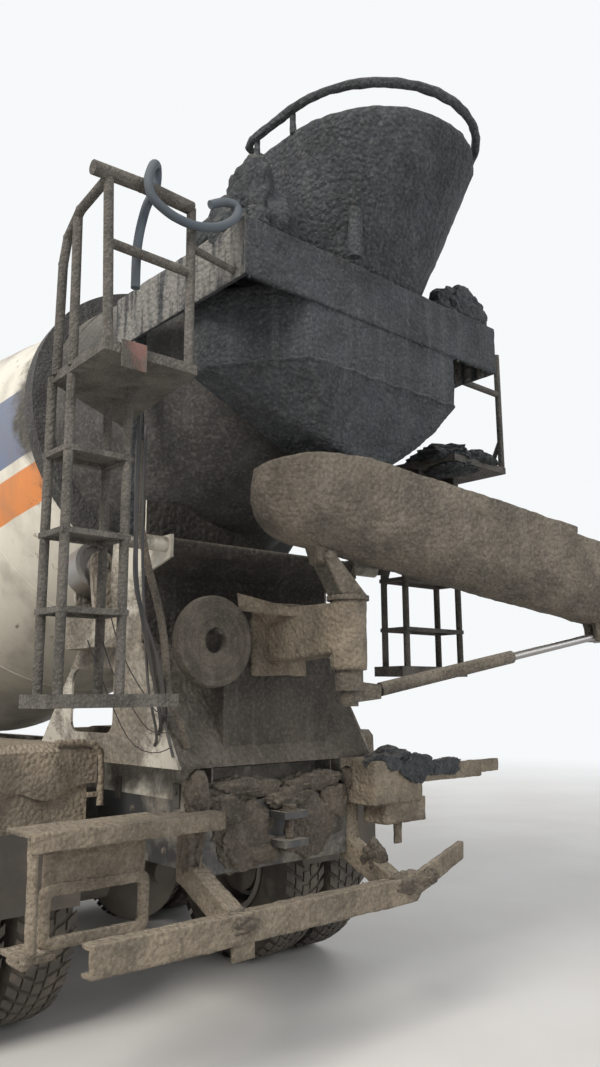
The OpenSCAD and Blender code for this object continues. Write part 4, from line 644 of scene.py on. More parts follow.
def finish_nodes():
    slots = {s["node"]: s["material_slot"] for s in frame["record"]["subparts"]}
    for name, obj in frame["nodes"].items():
        mat = MATERIALS[NODE_OWN.get(name) or NODE_FINISH[slots[name]]]
        if not obj.material_slots:
            obj.data.materials.append(mat)
        for s in obj.material_slots:
            s.material = mat


# Crusted copies of sheet metal


def crusted(node, body, material, thick=1.0, cell=1.0, smooth=35):
    """A copy of a CAD node with its faces cut small and pushed out by noise, like set cement."""
    src = frame["nodes"][node]
    bm = bmesh.new()
    bm.from_mesh(src.data)
    bmesh.ops.remove_doubles(bm, verts=bm.verts, dist=0.00005)
    bmesh.ops.triangulate(bm, faces=bm.faces)
    limit = sizes().crust_cell * cell
    for _ in range(9):
        long_edges = [e for e in bm.edges if e.calc_length() > limit]
        if not long_edges or len(bm.faces) > 90000:
            break
        bmesh.ops.subdivide_edges(bm, edges=long_edges, cuts=1)
        bmesh.ops.triangulate(bm, faces=[f for f in bm.faces if len(f.verts) > 3])
    bmesh.ops.recalc_face_normals(bm, faces=bm.faces)
    bm.normal_update()
    most = sizes().crust * thick
    moves = []
    for v in bm.verts:
        q = v.co
        k = 0.5 + 0.5 * noise.fractal(q * 5.0, 0.8, 2.0, 3)
        grit = noise.noise(q * 30.0) * 0.5 + 0.5
        knob = max(0.0, 1.0 - noise.voronoi(q * 18.0)[0][0] * 1.6)
        k = max(0.0, min(1.0, k)) * 0.5 + grit * 0.25 + knob * 0.35
        moves.append(v.co + v.normal * most * k)
    for v, co in zip(bm.verts, moves):
        v.co = clamp_to_box(co)
    mesh = bpy.data.meshes.new(node + "_crust")
    bm.to_mesh(mesh)
    bm.free()
    mesh.materials.append(MATERIALS[material])
    shade_by_angle(mesh, smooth)
    obj = bpy.data.objects.new(node + "_crust", mesh)
    bpy.context.scene.collection.objects.link(obj)
    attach(obj, body)
    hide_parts(node)
    return obj


# Operators, one for each group of pieces


class MixerOperator:
    bl_options = {"REGISTER", "UNDO"}


class MIXER_OT_stage(MixerOperator, bpy.types.Operator):
    """Pale floor, soft lamps, plain sky and the camera at the photograph's angle"""
    bl_idname = "mixer.stage"
    bl_label = "Stage and Camera"

    def execute(self, context):
        scene = context.scene
        scene.view_settings.view_transform = "Standard"
        cam = bpy.data.cameras.new("Photo camera")
        cam.sensor_width, cam.sensor_fit, cam.lens = 36, "AUTO", 852.64 / 1067 * 36
        cam.clip_end = 300
        obj = bpy.data.objects.new("Photo camera", cam)
        scene.collection.objects.link(obj)
        yaw, pitch, roll = -0.72793, 0.18743, -0.00611
        f = Vector((math.cos(yaw) * math.cos(pitch), math.sin(yaw) * math.cos(pitch), math.sin(pitch)))
        r = Vector((math.sin(yaw), -math.cos(yaw), 0))
        u = r.cross(f)
        r, u = r * math.cos(roll) + u * math.sin(roll), u * math.cos(roll) - r * math.sin(roll)
        turn = Matrix((r, u, -f)).transposed()
        obj.matrix_world = Matrix.Translation(at(-2.7206, 2.5916, 1.5073)) @ turn.to_4x4()
        scene.camera = obj

        floor = Form()
        floor.box((-60, -60, -0.05), (60, 60, 0.0))
        mesh = bpy.data.meshes.new("floor")
        mesh.from_pydata([tuple(v) for v in floor.verts], [], floor.faces)
        ground = bpy.data.objects.new("floor", mesh)
        scene.collection.objects.link(ground)
        mat, n, shader = new_material("pale_floor", 0.9)
        p = n.new("ShaderNodeTexCoord").outputs["Object"]
        n.put(shader, "Base Color",
              n.mix(n.ramp(n.noise(p, 0.6, 4), 0.3, 0.7), (0.60, 0.58, 0.55), (0.66, 0.645, 0.62)))
        xyz = n.new("ShaderNodeSeparateXYZ", i0=p).outputs
        far = n.math("POWER", n.math("ADD", n.math("MULTIPLY", xyz[0], xyz[0]),
                                     n.math("MULTIPLY", xyz[1], xyz[1])), 0.5)
        glow = n.new("ShaderNodeEmission", Color=(0.93, 0.95, 0.96), Strength=1.0)
        blend = n.new("ShaderNodeMixShader", i0=n.ramp(far, 5.5, 17.0))
        n.tree.links.new(shader.outputs[0], blend.inputs[1])
        n.tree.links.new(glow.outputs[0], blend.inputs[2])
        n.tree.links.new(blend.outputs[0], n.tree.nodes["Material Output"].inputs["Surface"])
        mesh.materials.append(mat)

        world = bpy.data.worlds.new("Plain sky")
        scene.world = world
        world.use_nodes = True
        w = Nodes(world.node_tree)
        back = world.node_tree.nodes["Background"]
        rays = w.new("ShaderNodeLightPath").outputs
        seen = w.math("MAXIMUM", rays["Is Camera Ray"],
                      w.math("MAXIMUM", rays["Is Glossy Ray"], rays["Is Transmission Ray"]))
        w.put(back, "Color", w.mix(seen, (0.86, 0.90, 0.96), (0.93, 0.95, 0.96)))
        w.put(back, "Strength", w.math("ADD", w.math("MULTIPLY", seen, 0.46), 0.54))

        def lamp(name, place, target, size, power, tint):
            data = bpy.data.lights.new(name, "AREA")
            data.shape, data.size, data.energy, data.color = "DISK", size, power, tint
            o = bpy.data.objects.new(name, data)
            o.location = Vector(place)
            o.rotation_euler = (Vector(target) - Vector(place)).to_track_quat("-Z", "Y").to_euler()
            scene.collection.objects.link(o)

        lamp("Left sky", (-7.0, 11.0, 10.0), (-2, 0, 1.6), 6.0, 1900, (1.0, 0.96, 0.90))
        lamp("Rear fill", (-14.0, -3.0, 5.0), (-3, 0, 1.8), 7.0, 420, (0.95, 0.97, 1.0))
        lamp("Right rim", (4.0, -12.0, 9.0), (0, 0, 2.0), 6.0, 500, (1.0, 0.99, 0.97))
        return {"FINISHED"}


class MIXER_OT_finishes(MixerOperator, bpy.types.Operator):
    """Builds every material and gives each CAD node its own"""
    bl_idname = "mixer.finishes"
    bl_label = "Finishes"

    def execute(self, context):
        build_materials()
        finish_nodes()
        return {"FINISHED"}


FEED_ROUTE = [(0.300, 0.800, 2.560), (0.310, 0.790, 2.300), (0.330, 0.735, 2.080), (0.338, 0.670, 1.900),
              (0.340, 0.630, 1.740), (0.340, 0.600, 1.520), (0.338, 0.540, 1.400), (0.3364, 0.505, 1.296)]
HANDRAIL_ROUTE = [
    (-0.308, 1.195, 2.890), (-0.308, 1.192, 3.050), (-0.309, 1.165, 3.200), (-0.313, 1.128, 3.300),
    (-0.345, 1.145, 3.352), (-0.387, 1.185, 3.325), (-0.4038, 1.213, 3.248), (-0.400, 1.195, 3.195),
    (-0.398, 1.145, 3.168), (-0.397, 1.087, 3.155), (-0.3965, 1.006, 3.158), (-0.392, 0.904, 3.197),
    (-0.385, 0.825, 3.265), (-0.378, 0.812, 3.318), (-0.368, 0.860, 3.325), (-0.360, 0.923, 3.292)]


class MIXER_OT_hoses(MixerOperator, bpy.types.Operator):
    """Water hoses: the feed hose down the pedestal and the hose laid over the handrail"""
    bl_idname = "mixer.hoses"
    bl_label = "Hoses"

    def execute(self, context):
        for name, route, far in (("feed_hose", FEED_ROUTE, "object"),
                                 ("handrail_hose", HANDRAIL_ROUTE, "bare")):
            pts = through([at(*p) for p in route], 5)
            form = Form()
            form.tube(pts, 0.0165, 12, wobble=0.0)
            obj = form.piece(name + "_rubber", "chassis",
                             MATERIALS["hose_crust" if name == "feed_hose" else "hose_rubber"], "hose")
            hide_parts(name)
        return {"FINISHED"}


class MIXER_OT_crust(MixerOperator, bpy.types.Operator):
    """Cement crust over the hopper, the collector, the chute and the rear bumper"""
    bl_idname = "mixer.crust"
    bl_label = "Cement Crust"

    def execute(self, context):
        for node, body, mat, slot, thick, cell in (
                ("collector", "chassis", "dark_cement", "dark_crust", 1.0, 1.0),
                ("charging_hopper", "chassis", "dark_cement", "dark_crust", 1.0, 1.0),
                ("hopper_frame", "chassis", "band_cement", "dark_crust", 0.8, 1.0),
                ("hopper_ring", "chassis", "dark_cement", "dark_crust", 0.7, 0.8),
                ("chute", "chute", "chute_cement", "crusted_paint", 1.1, 0.9),
                ("chute_arm", "chassis", "pale_cement", "crusted_paint", 0.8, 0.9),
                ("underrun_bar", "chassis", "pale_cement", "crusted_paint", 0.8, 0.9),
                ("lamp_brackets", "chassis", "pale_cement", "crusted_paint", 0.6, 1.0)):
            crusted(node, body, mat, thick, cell)
        return {"FINISHED"}


# Wheels

TYRE_R, HALF_W = 0.545, 0.145
TREAD_ROWS = [
    # from, to, share of the pitch, turn of the row, slant
    (-0.141, -0.088, 0.62, 0.0, 0.25),
    (-0.080, -0.030, 0.74, 0.5, 0.18),
    (-0.022, 0.022, 0.74, 0.0, 0.0),
    (0.030, 0.080, 0.74, 0.5, -0.18),
    (0.088, 0.141, 0.62, 0.0, -0.25),
]
PITCHES = 46


def tyre_form(form, centre):
    """One tyre round an axis along Y."""
    depth = sizes().lug_depth
    crown = TYRE_R - depth
    half = [(0.268, 0.100), (0.281, 0.104), (0.300, 0.124), (0.335, 0.139), (0.392, 0.1448),
            (0.396, 0.1448), (0.400, 0.1425), (0.455, 0.1405), (0.498, 0.134), (0.520, 0.121),
            (crown - 0.003, 0.094), (crown, 0.0)]
    profile = half + [(r, -h) for r, h in half[-2::-1]] + [(0.300, -0.085), (0.306, 0.0), (0.300, 0.085)]
    form.lathe(profile, centre, (0, 1, 0), 72)
    for a, b, fill, phase, slant in TREAD_ROWS:
        for k in range(PITCHES):
            t0 = (k + phase) / PITCHES
            vs = []
            for r in (crown - 0.006, TYRE_R - 0.0006):
                trim = 0.0 if r < crown else 0.0016
                for y in (a + trim, b - trim):
                    lean = slant * (y - (a + b) / 2) / (b - a) / PITCHES * 2
                    edge = 0.012 if abs(y) > 0.13 and r > crown else 0.0
                    for t in (t0 + lean + trim * 0.3, t0 + lean + fill / PITCHES - trim * 0.3):
                        ang = 2 * math.pi * t
                        out = r - edge
                        vs.append(Vector(centre) + Vector((math.cos(ang) * out, y, math.sin(ang) * out)))
            form.add(vs, [(4, 5, 7, 6), (0, 1, 5, 4), (2, 6, 7, 3), (0, 4, 6, 2), (1, 3, 7, 5)])


WHEELS = [
    # body, tyre node, centre x, centre y, offsets of its tyres
    ("front_wheel_left", "front_tyre_left", 6.895, 1.020, (0.0,)),
    ("front_wheel_right", "front_tyre_right", 6.895, -1.020, (0.0,)),
    ("rear1_wheel_left", "rear1_tyres_left", 2.895, 0.930, (-0.167, 0.167)),
    ("rear1_wheel_right", "rear1_tyres_right", 2.895, -0.930, (-0.167, 0.167)),
    ("rear2_wheel_left", "rear2_tyres_left", 1.545, 0.930, (-0.167, 0.167)),
    ("rear2_wheel_right", "rear2_tyres_right", 1.545, -0.930, (-0.167, 0.167)),
]


class MIXER_OT_tyres(MixerOperator, bpy.types.Operator):
    """Tyres with block treads and ribbed walls"""
    bl_idname = "mixer.tyres"
    bl_label = "Tyres"

    def execute(self, context):
        for body, node, x, y, offsets in WHEELS:
            form = Form()
            for o in offsets:
                tyre_form(form, at(x, y + o, TYRE_R))
            obj = form.piece(node + "_treaded", body, MATERIALS["tyre_rubber"], "tyre")
            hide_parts(node)
        return {"FINISHED"}


# Lumps of set cement: centre as in the part's source, half sizes, seed

DARK_LUMPS = [
    ((-0.22, 0.70, 3.34), (0.15, 0.10, 0.12), 1),
    ((-0.29, 0.68, 3.46), (0.10, 0.09, 0.15), 2),
    ((-0.10, 0.72, 3.33), (0.14, 0.07, 0.09), 3),
    ((-0.33, 0.60, 3.36), (0.07, 0.12, 0.14), 4),
    ((-0.31, -0.60, 3.34), (0.09, 0.15, 0.15), 5),
    ((-0.33, -0.70, 3.33), (0.06, 0.10, 0.11), 6),
    ((-0.25, -0.46, 3.31), (0.12, 0.12, 0.06), 7),
    ((-0.10, -0.70, 3.31), (0.16, 0.07, 0.06), 8),
    ((-0.33, 0.20, 3.285), (0.05, 0.22, 0.03), 9),
    ((0.10, -0.93, 2.765), (0.17, 0.14, 0.055), 10),
    ((0.02, -1.12, 2.760), (0.11, 0.15, 0.050), 11),
    ((0.22, -1.10, 2.755), (0.15, 0.14, 0.040), 12),
    ((0.07, -0.98, 2.700), (0.14, 0.12, 0.035), 13),
    ((0.19, -0.56, 1.20), (0.06, 0.13, 0.06), 14),
    ((0.15, -0.72, 1.15), (0.04, 0.12, 0.07), 15),
    ((0.15, -0.93, 1.145), (0.025, 0.14, 0.045), 16),
    ((-0.12, 0.18, 2.445), (0.10, 0.05, 0.05), 17),
    ((-0.25, 0.06, 2.450), (0.05, 0.12, 0.05), 18),
]
BEIGE_LUMPS = [
    ((0.345, 0.20, 0.93), (0.050, 0.17, 0.14), 21),
    ((0.345, -0.20, 0.93), (0.050, 0.16, 0.13), 22),
    ((0.340, 0.30, 1.02), (0.045, 0.12, 0.08), 23),
    ((0.335, -0.06, 1.045), (0.050, 0.14, 0.060), 24),
    ((0.340, -0.33, 1.02), (0.045, 0.10, 0.08), 25),
    ((0.345, 0.10, 0.845), (0.045, 0.14, 0.060), 26),
    ((0.360, 0.22, 1.11), (0.060, 0.20, 0.05), 27),
    ((0.360, -0.22, 1.11), (0.060, 0.20, 0.05), 28),
    ((0.330, 0.46, 1.10), (0.055, 0.06, 0.10), 29),
    ((0.335, -0.46, 1.09), (0.055, 0.06, 0.09), 30),
    ((0.340, 0.47, 0.93), (0.050, 0.05, 0.12), 31),
    ((0.030, 0.46, 0.655), (0.050, 0.09, 0.045), 32),
    ((0.030, -0.47, 0.665), (0.050, 0.10, 0.055), 33),
    ((0.200, -0.46, 0.76), (0.060, 0.05, 0.07), 34),
    ((0.010, -0.62, 0.680), (0.035, 0.07, 0.035), 35),
]


class MIXER_OT_lumps(MixerOperator, bpy.types.Operator):
    """Lumps of set cement on ledges and in corners"""
    bl_idname = "mixer.lumps"
    bl_label = "Cement Lumps"

    def execute(self, context):
        for name, lumps, mat, slot in (("dark_lumps", DARK_LUMPS, "dark_cement", "dark_crust"),
                                       ("beige_lumps", BEIGE_LUMPS, "rear_cement", "crusted_paint")):
            form = Form()
            for centre, size, seed in lumps:
                form.lump(at(*centre), size, seed, 0.34, 4)
            for v in form.verts:
                clamp_to_box(v)
            form.piece(name, "chassis", MATERIALS[mat], slot)
        return {"FINISHED"}


def slab(form, lo, hi):
    form.box(at(*lo), at(*hi))


class MIXER_OT_rear(MixerOperator, bpy.types.Operator):
    """Tow pin, arm gusset, overflow stub, seams, drips, rubber sheets and wires at the rear"""
    bl_idname = "mixer.rear"
    bl_label = "Rear Fittings"

    def execute(self, context):
        dark, beige, rubber, wire, iron, lens = (Form() for _ in range(6))
        # Tow pin with its nut and cotter
        iron.lathe([(0.0001, -0.10), (0.019, -0.10), (0.019, 0.105), (0.0001, 0.105)], at(0.27, 0, 0.93),
                   (0, 0, 1), 20)
        iron.bolt(at(0.27, 0, 1.005), (0, 0, 1), 0.032, 0.028)
        iron.bolt(at(0.27, 0, 0.855), (0, 0, -1), 0.030, 0.024)
        # Gusset from the column to the chute's arm
        quad = [(0.349, 0.235, 1.965), (0.349, 0.225, 1.885), (0.13, 0.070, 1.850), (0.13, 0.070, 1.885)]
        lift = Vector((-0.006, 0.010, 0.0))
        vs = [at(*q) for q in quad] + [at(*q) + lift for q in quad]
        beige.add(vs, [(3, 2, 1, 0), (4, 5, 6, 7), (0, 1, 5, 4), (1, 2, 6, 5), (2, 3, 7, 6), (3, 0, 4, 7)])
        # Stub on the hopper's rear wall and seam of the collector
        dark.tube([at(-0.455, 0.262, 3.28), at(-0.470, 0.268, 3.40), at(-0.478, 0.272, 3.485)], 0.026, 12,
                  wobble=0.008)
        seam = [(-0.3825, y, 2.817 + 0.004 * math.sin(y * 40)) for y in rolling(0.44, -0.44, 60)]
        dark.tube([at(*p) for p in seam], 0.006, 6, wobble=0.005)
        for s in (1, -1):
            side = [(-0.38 + 0.34 * t, s * (0.452 + 0.25 * t), 2.817) for t in rolling(0, 1, 30)]
            dark.tube([at(*p) for p in side], 0.006, 6, wobble=0.005)
        # Slot of the collector drawn as a flat black box: painted shade of the opening
        slot = Form()
        slot.box(at(-0.3815, 0.045, 2.897), at(-0.379, 0.155, 2.909))
        slot.box(at(-0.3815, 0.085, 2.890), at(-0.379, 0.115, 2.897))
        slot.piece("collector_slot_shade", "chassis", MATERIALS["flap_rubber"], "dark_crust")
        # Drips that hang from the collector's foot and from the band's lower edge
        for i in range(26):
            a = 2 * math.pi * i / 26
            drop = 0.012 + 0.030 * abs(noise.noise(Vector((i * 1.7, 3.1, 0.2))))
            c = at(-0.12 + 0.152 * math.cos(a), 0.152 * math.sin(a), 2.452)
            dark.tube([c, c - Vector((0, 0, drop))], lambda t: 0.011 * (1 - 0.7 * t), 7)
        for i in range(46):
            y = -0.76 + 1.52 * (i + 0.5 * noise.noise(Vector((i * 2.3, 0, 7)))) / 45
            drop = 0.006 + 0.030 * abs(noise.noise(Vector((i * 1.3, 9.1, 0.2))))
            c = at(-0.389, y, 3.066)
            dark.tube([c, c - Vector((0, 0, drop))], lambda t: 0.008 * (1 - 0.6 * t), 6)
        # Sheet of belting laid over each rear fender's end, with its pipe edge
        for s in (1, -1):
            top, low = [], []
            for k, y in enumerate(rolling(0.605, 1.240, 16)):
                sag = 0.018 * math.sin(k * 0.9) + 0.02 * noise.noise(Vector((k * 0.31, s, 2)))
                top.append(at(1.02, s * y, 1.296))
                low.append([at(0.968, s * y, 1.2955), at(0.928 + sag * 0.4, s * y, 1.262),
                            at(0.921 + sag * 0.6, s * y, 1.12 - 0.05 * math.sin(k / 15 * math.pi) + sag)])
            rows = [[t] + l for t, l in zip(top, low)]
            vs = [p for r in rows for p in r] + [p + Vector((-0.004, 0, 0.006)) for r in rows for p in r]
            m, w = len(rows) * 4, 4
            fs = []
            for i in range(len(rows) - 1):
                for j in range(3):
                    q = (i * w + j, (i + 1) * w + j, (i + 1) * w + j + 1, i * w + j + 1)
                    fs += [q, tuple(m + x for x in reversed(q))]
            for j in range(3):
                for e in (0, (len(rows) - 1) * w):
                    fs.append((e + j, e + j + 1, m + e + j + 1, m + e + j))
            for i in range(len(rows) - 1):
                for j in (0, 3):
                    fs.append((i * w + j, (i + 1) * w + j, m + (i + 1) * w + j, m + i * w + j))
            beige.add(vs, fs)
            pipe = [(0.925, s * 0.80, 1.302), (0.925, s * 0.66, 1.300), (0.925, s * 0.605, 1.275),
                    (0.925, s * 0.582, 1.22), (0.925, s * 0.580, 1.02)]
            beige.tube(through([at(*p) for p in pipe], 5), 0.014, 10, wobble=0.004)
            slab(beige, (0.918, s * 0.578, 1.06) if s > 0 else (0.918, -0.645, 1.06),
                 (0.932, 0.645, 1.08) if s > 0 else (0.932, -0.578, 1.08))
            # Flap behind the rear tyres and one ahead of the front pair
            for x in (0.921, 3.508):
                y0, y1 = (0.66, 1.235) if s > 0 else (-1.235, -0.66)
                slab(rubber, (x, y0, 0.60), (x + 0.007, y1, 0.935))
        # Steel wires twisted round the left ladder's foot, and a cable down the pedestal
        for i in range(3):
            a = Vector((-0.04 + 0.02 * i, 1.10 + 0.03 * i, 1.80 - 0.05 * i))
            b = Vector((0.35, 0.575, 1.42 - 0.06 * i))
            pts = []
            for t in rolling(0, 1, 12):
                p = a.lerp(b, t)
                p.z -= 0.10 * math.sin(t * math.pi) * (1 + 0.3 * i)
                p.x += 0.03 * noise.noise(Vector((t * 3, i, 0)))
                pts.append(at(*p))
            wire.tube(pts, 0.0022, 5)
        wire.tube(through([at(*p) for p in ((0.60, 0.578, 2.10), (0.585, 0.580, 1.80), (0.50, 0.580, 1.60),
                                           (0.40, 0.580, 1.40), (0.33, 0.580, 1.26))], 5), 0.006, 8)
        # Three cables that hang beside the left ladder, from under the platform to the pedestal
        for i, (r, y, x) in enumerate(((0.010, 0.86, 0.20), (0.008, 0.90, 0.13), (0.006, 0.80, 0.25))):
            route = [(x, y, 2.615), (x - 0.01, y + 0.01, 2.40), (x + 0.02, y - 0.01, 2.15)]
            route += [(x + 0.05, y - 0.04, 1.92), (0.30 + 0.03 * i, 0.69, 1.66 - 0.05 * i)]
            route += [(0.37 + 0.03 * i, 0.60, 1.46 - 0.05 * i), (0.42 + 0.03 * i, 0.575, 1.40 - 0.05 * i)]
            wire.tube(through([at(*q) for q in route], 6), r, 8)
        mark = Form()
        corners = ((0.775, 1.86), (0.835, 1.90), (0.815, 2.03), (0.760, 2.00))
        mark.add([at(x, y, z) for y in (0.5726, 0.5736) for x, z in corners],
                 [(3, 2, 1, 0), (4, 5, 6, 7), (0, 1, 5, 4), (1, 2, 6, 5), (2, 3, 7, 6), (3, 0, 4, 7)])
        mark.piece("orange_mark", "chassis", MATERIALS["orange_paint"], "cream_paint")
        # Reddish reflector board on the left platform
        lens.box(at(-0.395, 1.192, 2.556), at(-0.387, 1.286, 2.652))
        dark.piece("collector_fittings", "chassis", MATERIALS["dark_cement"], "dark_crust")
        beige.piece("rear_fittings", "chassis", MATERIALS["pale_cement"], "crusted_paint")
        rubber.piece("mud_flaps", "chassis", MATERIALS["flap_rubber"], "tyre")
        wire.piece("ladder_wires", "chassis", MATERIALS["black_plastic"], "hose")
        iron.piece("tow_pin", "chassis", MATERIALS["rear_cement"], "frame_steel")
        lens.piece("platform_reflector", "chassis", MATERIALS["reflector"], "ladder_steel", bevel=0.002)
        return {"FINISHED"}


class MIXER_OT_cab(MixerOperator, bpy.types.Operator):
    """Lamps, wipers, seals, mirror faces, handles and roof markers of the cab"""
    bl_idname = "mixer.cab"
    bl_label = "Cab Fittings"

    def execute(self, context):
        trim, glass, amber, mirror, steel = Form(), Form(), Form(), Form(), Form()
        bowls, bumper_amber = Form(), Form()
        front = 8.295
        # Frame and ribs of the grille
        for z in (1.165, 1.615):
            slab(trim, (front - 0.004, -0.76, z), (front + 0.016, 0.76, z + 0.022))
        for y in (-0.76, 0.738):
            slab(trim, (front - 0.004, y, 1.165), (front + 0.016, y + 0.022, 1.637))
        for i in range(4):
            z = 1.247 + 0.09 * i
            slab(trim, (front - 0.002, -0.735, z), (front + 0.006, 0.735, z + 0.036))
        # Seal round the windscreen, laid on the slanted face
        def screen(y, z):
            if z < 2.02:
                x = front - 0.06 * (z - 1.76) / 0.26
            else:
                x = front - 0.06 - 0.17 * (z - 2.02) / 0.62
            return (x, y, z)
        ring = []
        for y, z in ((-0.93, 1.852), (0.93, 1.852), (1.018, 1.94), (1.018, 2.49), (0.93, 2.578),
                     (-0.93, 2.578), (-1.018, 2.49), (-1.018, 1.94)):
            ring.append((y, z))
        pts = []
        for (y0, z0), (y1, z1) in zip(ring, ring[1:] + ring[:1]):
            for t in rolling(0, 1, 7)[:-1]:
                pts.append(at(*screen(y0 + (y1 - y0) * t, z0 + (z1 - z0) * t)))
        trim.tube(pts, 0.012, 8, closed=True)
        # Wipers
        for y in (0.62, -0.05, -0.72):
            root = Vector(screen(y, 1.80)) + Vector((0.022, 0, 0))
            tip = Vector(screen(y + 0.42, 2.06)) + Vector((0.024, 0, 0))
            trim.tube([at(*root), at(*root.lerp(tip, 0.5)) + Vector((0.010, 0, 0.01)), at(*tip)], 0.008, 8)
            lo, hi = Vector(screen(y + 0.22, 1.93)), Vector(screen(y + 0.62, 2.20))
            trim.tube([at(*(lo + Vector((0.018, 0, 0)))), at(*(hi + Vector((0.018, 0, 0))))], 0.007, 6)
            trim.lathe([(0.0001, 0), (0.022, 0), (0.018, 0.020), (0.0001, 0.020)], at(*root), (1, 0, 0), 16)
        # Mirror faces, roof lamps and side lamps
        for s in (1, -1):
            y0, y1 = (1.245, 1.415) if s > 0 else (-1.415, -1.245)
            slab(mirror, (8.1835, y0, 1.985), (8.1855, y1, 2.355))
            slab(mirror, (8.1835, y0, 1.845), (8.1855, y1, 1.965))
            trim.tube([at(8.184, y, z) for y, z in ((y0, 1.975), (y1, 1.975))], 0.006, 6)
            for y in (0.42 * s, 0.95 * s):
                amber.lump(at(7.66, y, 2.952), (0.05, 0.035, 0.022), 0, 0.0, 2)
            slab(amber, (7.10, s * 1.2005, 1.36) if s > 0 else (7.10, -1.2065, 1.36),
                 (7.17, 1.2065, 1.40) if s > 0 else (7.17, -1.2005, 1.40))
            # Headlamps in the bumper's openings
            a, b = (0.787, 1.043) if s > 0 else (-1.043, -0.787)
            slab(bowls, (8.31, a, 0.647), (8.318, b, 0.813))
            for y in (a + 0.075, b - 0.075):
                bowls.lathe([(0.030, 0.0), (0.066, 0.040), (0.072, 0.040), (0.034, -0.004)],
                            at(8.318, y, 0.73), (1, 0, 0), 28)
            glass.box(at(8.362, a + 0.002, 0.649), at(8.370, b - 0.002, 0.811))
            a, b = (1.052, 1.068) if s > 0 else (-1.068, -1.052)
            bumper_amber.box(at(8.30, a, 0.66), at(8.352, b, 0.80))
        # Drip rails and rear wall ribs
        for s in (1, -1):
            trim.tube([at(7.10, s * 1.203, 2.632), at(8.00, s * 1.203, 2.575)], 0.009, 6)
        for y in (-0.8, -0.6, 0.6, 0.8):
            slab(steel, (6.176, y - 0.02, 1.35), (6.186, y + 0.02, 2.70))
        for form, name, body, mat, slot in (
                (trim, "cab_trim_parts", "cab", "black_plastic", "cab_trim"),
                (amber, "marker_lamps", "cab", "amber_lens", "window_glass"),
                (mirror, "mirror_faces", "cab", "mirror_face", "rod_steel"),
                (steel, "cab_wall_ribs", "cab", "rim_paint", "cream_paint"),
                (bowls, "headlamp_bowls", "chassis", "rim_paint", "cream_paint"),
                (glass, "headlamp_glass", "chassis", "clear_lens", "window_glass"),
                (bumper_amber, "bumper_lamps", "chassis", "amber_lens", "window_glass")):
            form.piece(name, body, MATERIALS[mat], slot)
        for s, body in ((1, "door_left"), (-1, "door_right")):
            d, seal = Form(), Form()
            face = s * 1.2
            d.tube([at(7.29, face - s * 0.010, 1.53), at(7.29, face + s * 0.012, 1.53),
                    at(7.46, face + s * 0.012, 1.53),
                    at(7.46, face - s * 0.010, 1.53)], 0.009, 8)
            frame = [(7.257, 1.782), (7.893, 1.782), (7.893, 2.428), (7.257, 2.478)]
            seal.tube([at(x, face + s * 0.001, z) for x, z in frame], 0.009, 8, closed=True)
            seal.tube([at(x, face - s * 0.053, z) for x, z in frame], 0.009, 8, closed=True)
            d.tube([at(7.30, face - s * 0.058, 1.70), at(7.30, face - s * 0.085, 1.70),
                    at(7.30, face - s * 0.085, 1.50),
                    at(7.30, face - s * 0.058, 1.50)], 0.010, 8)
            d.piece(body + "_handle", body, MATERIALS["black_plastic"], "cab_trim")
            seal.piece(body + "_seal", body, MATERIALS["flap_rubber"], "cab_trim")
        return {"FINISHED"}


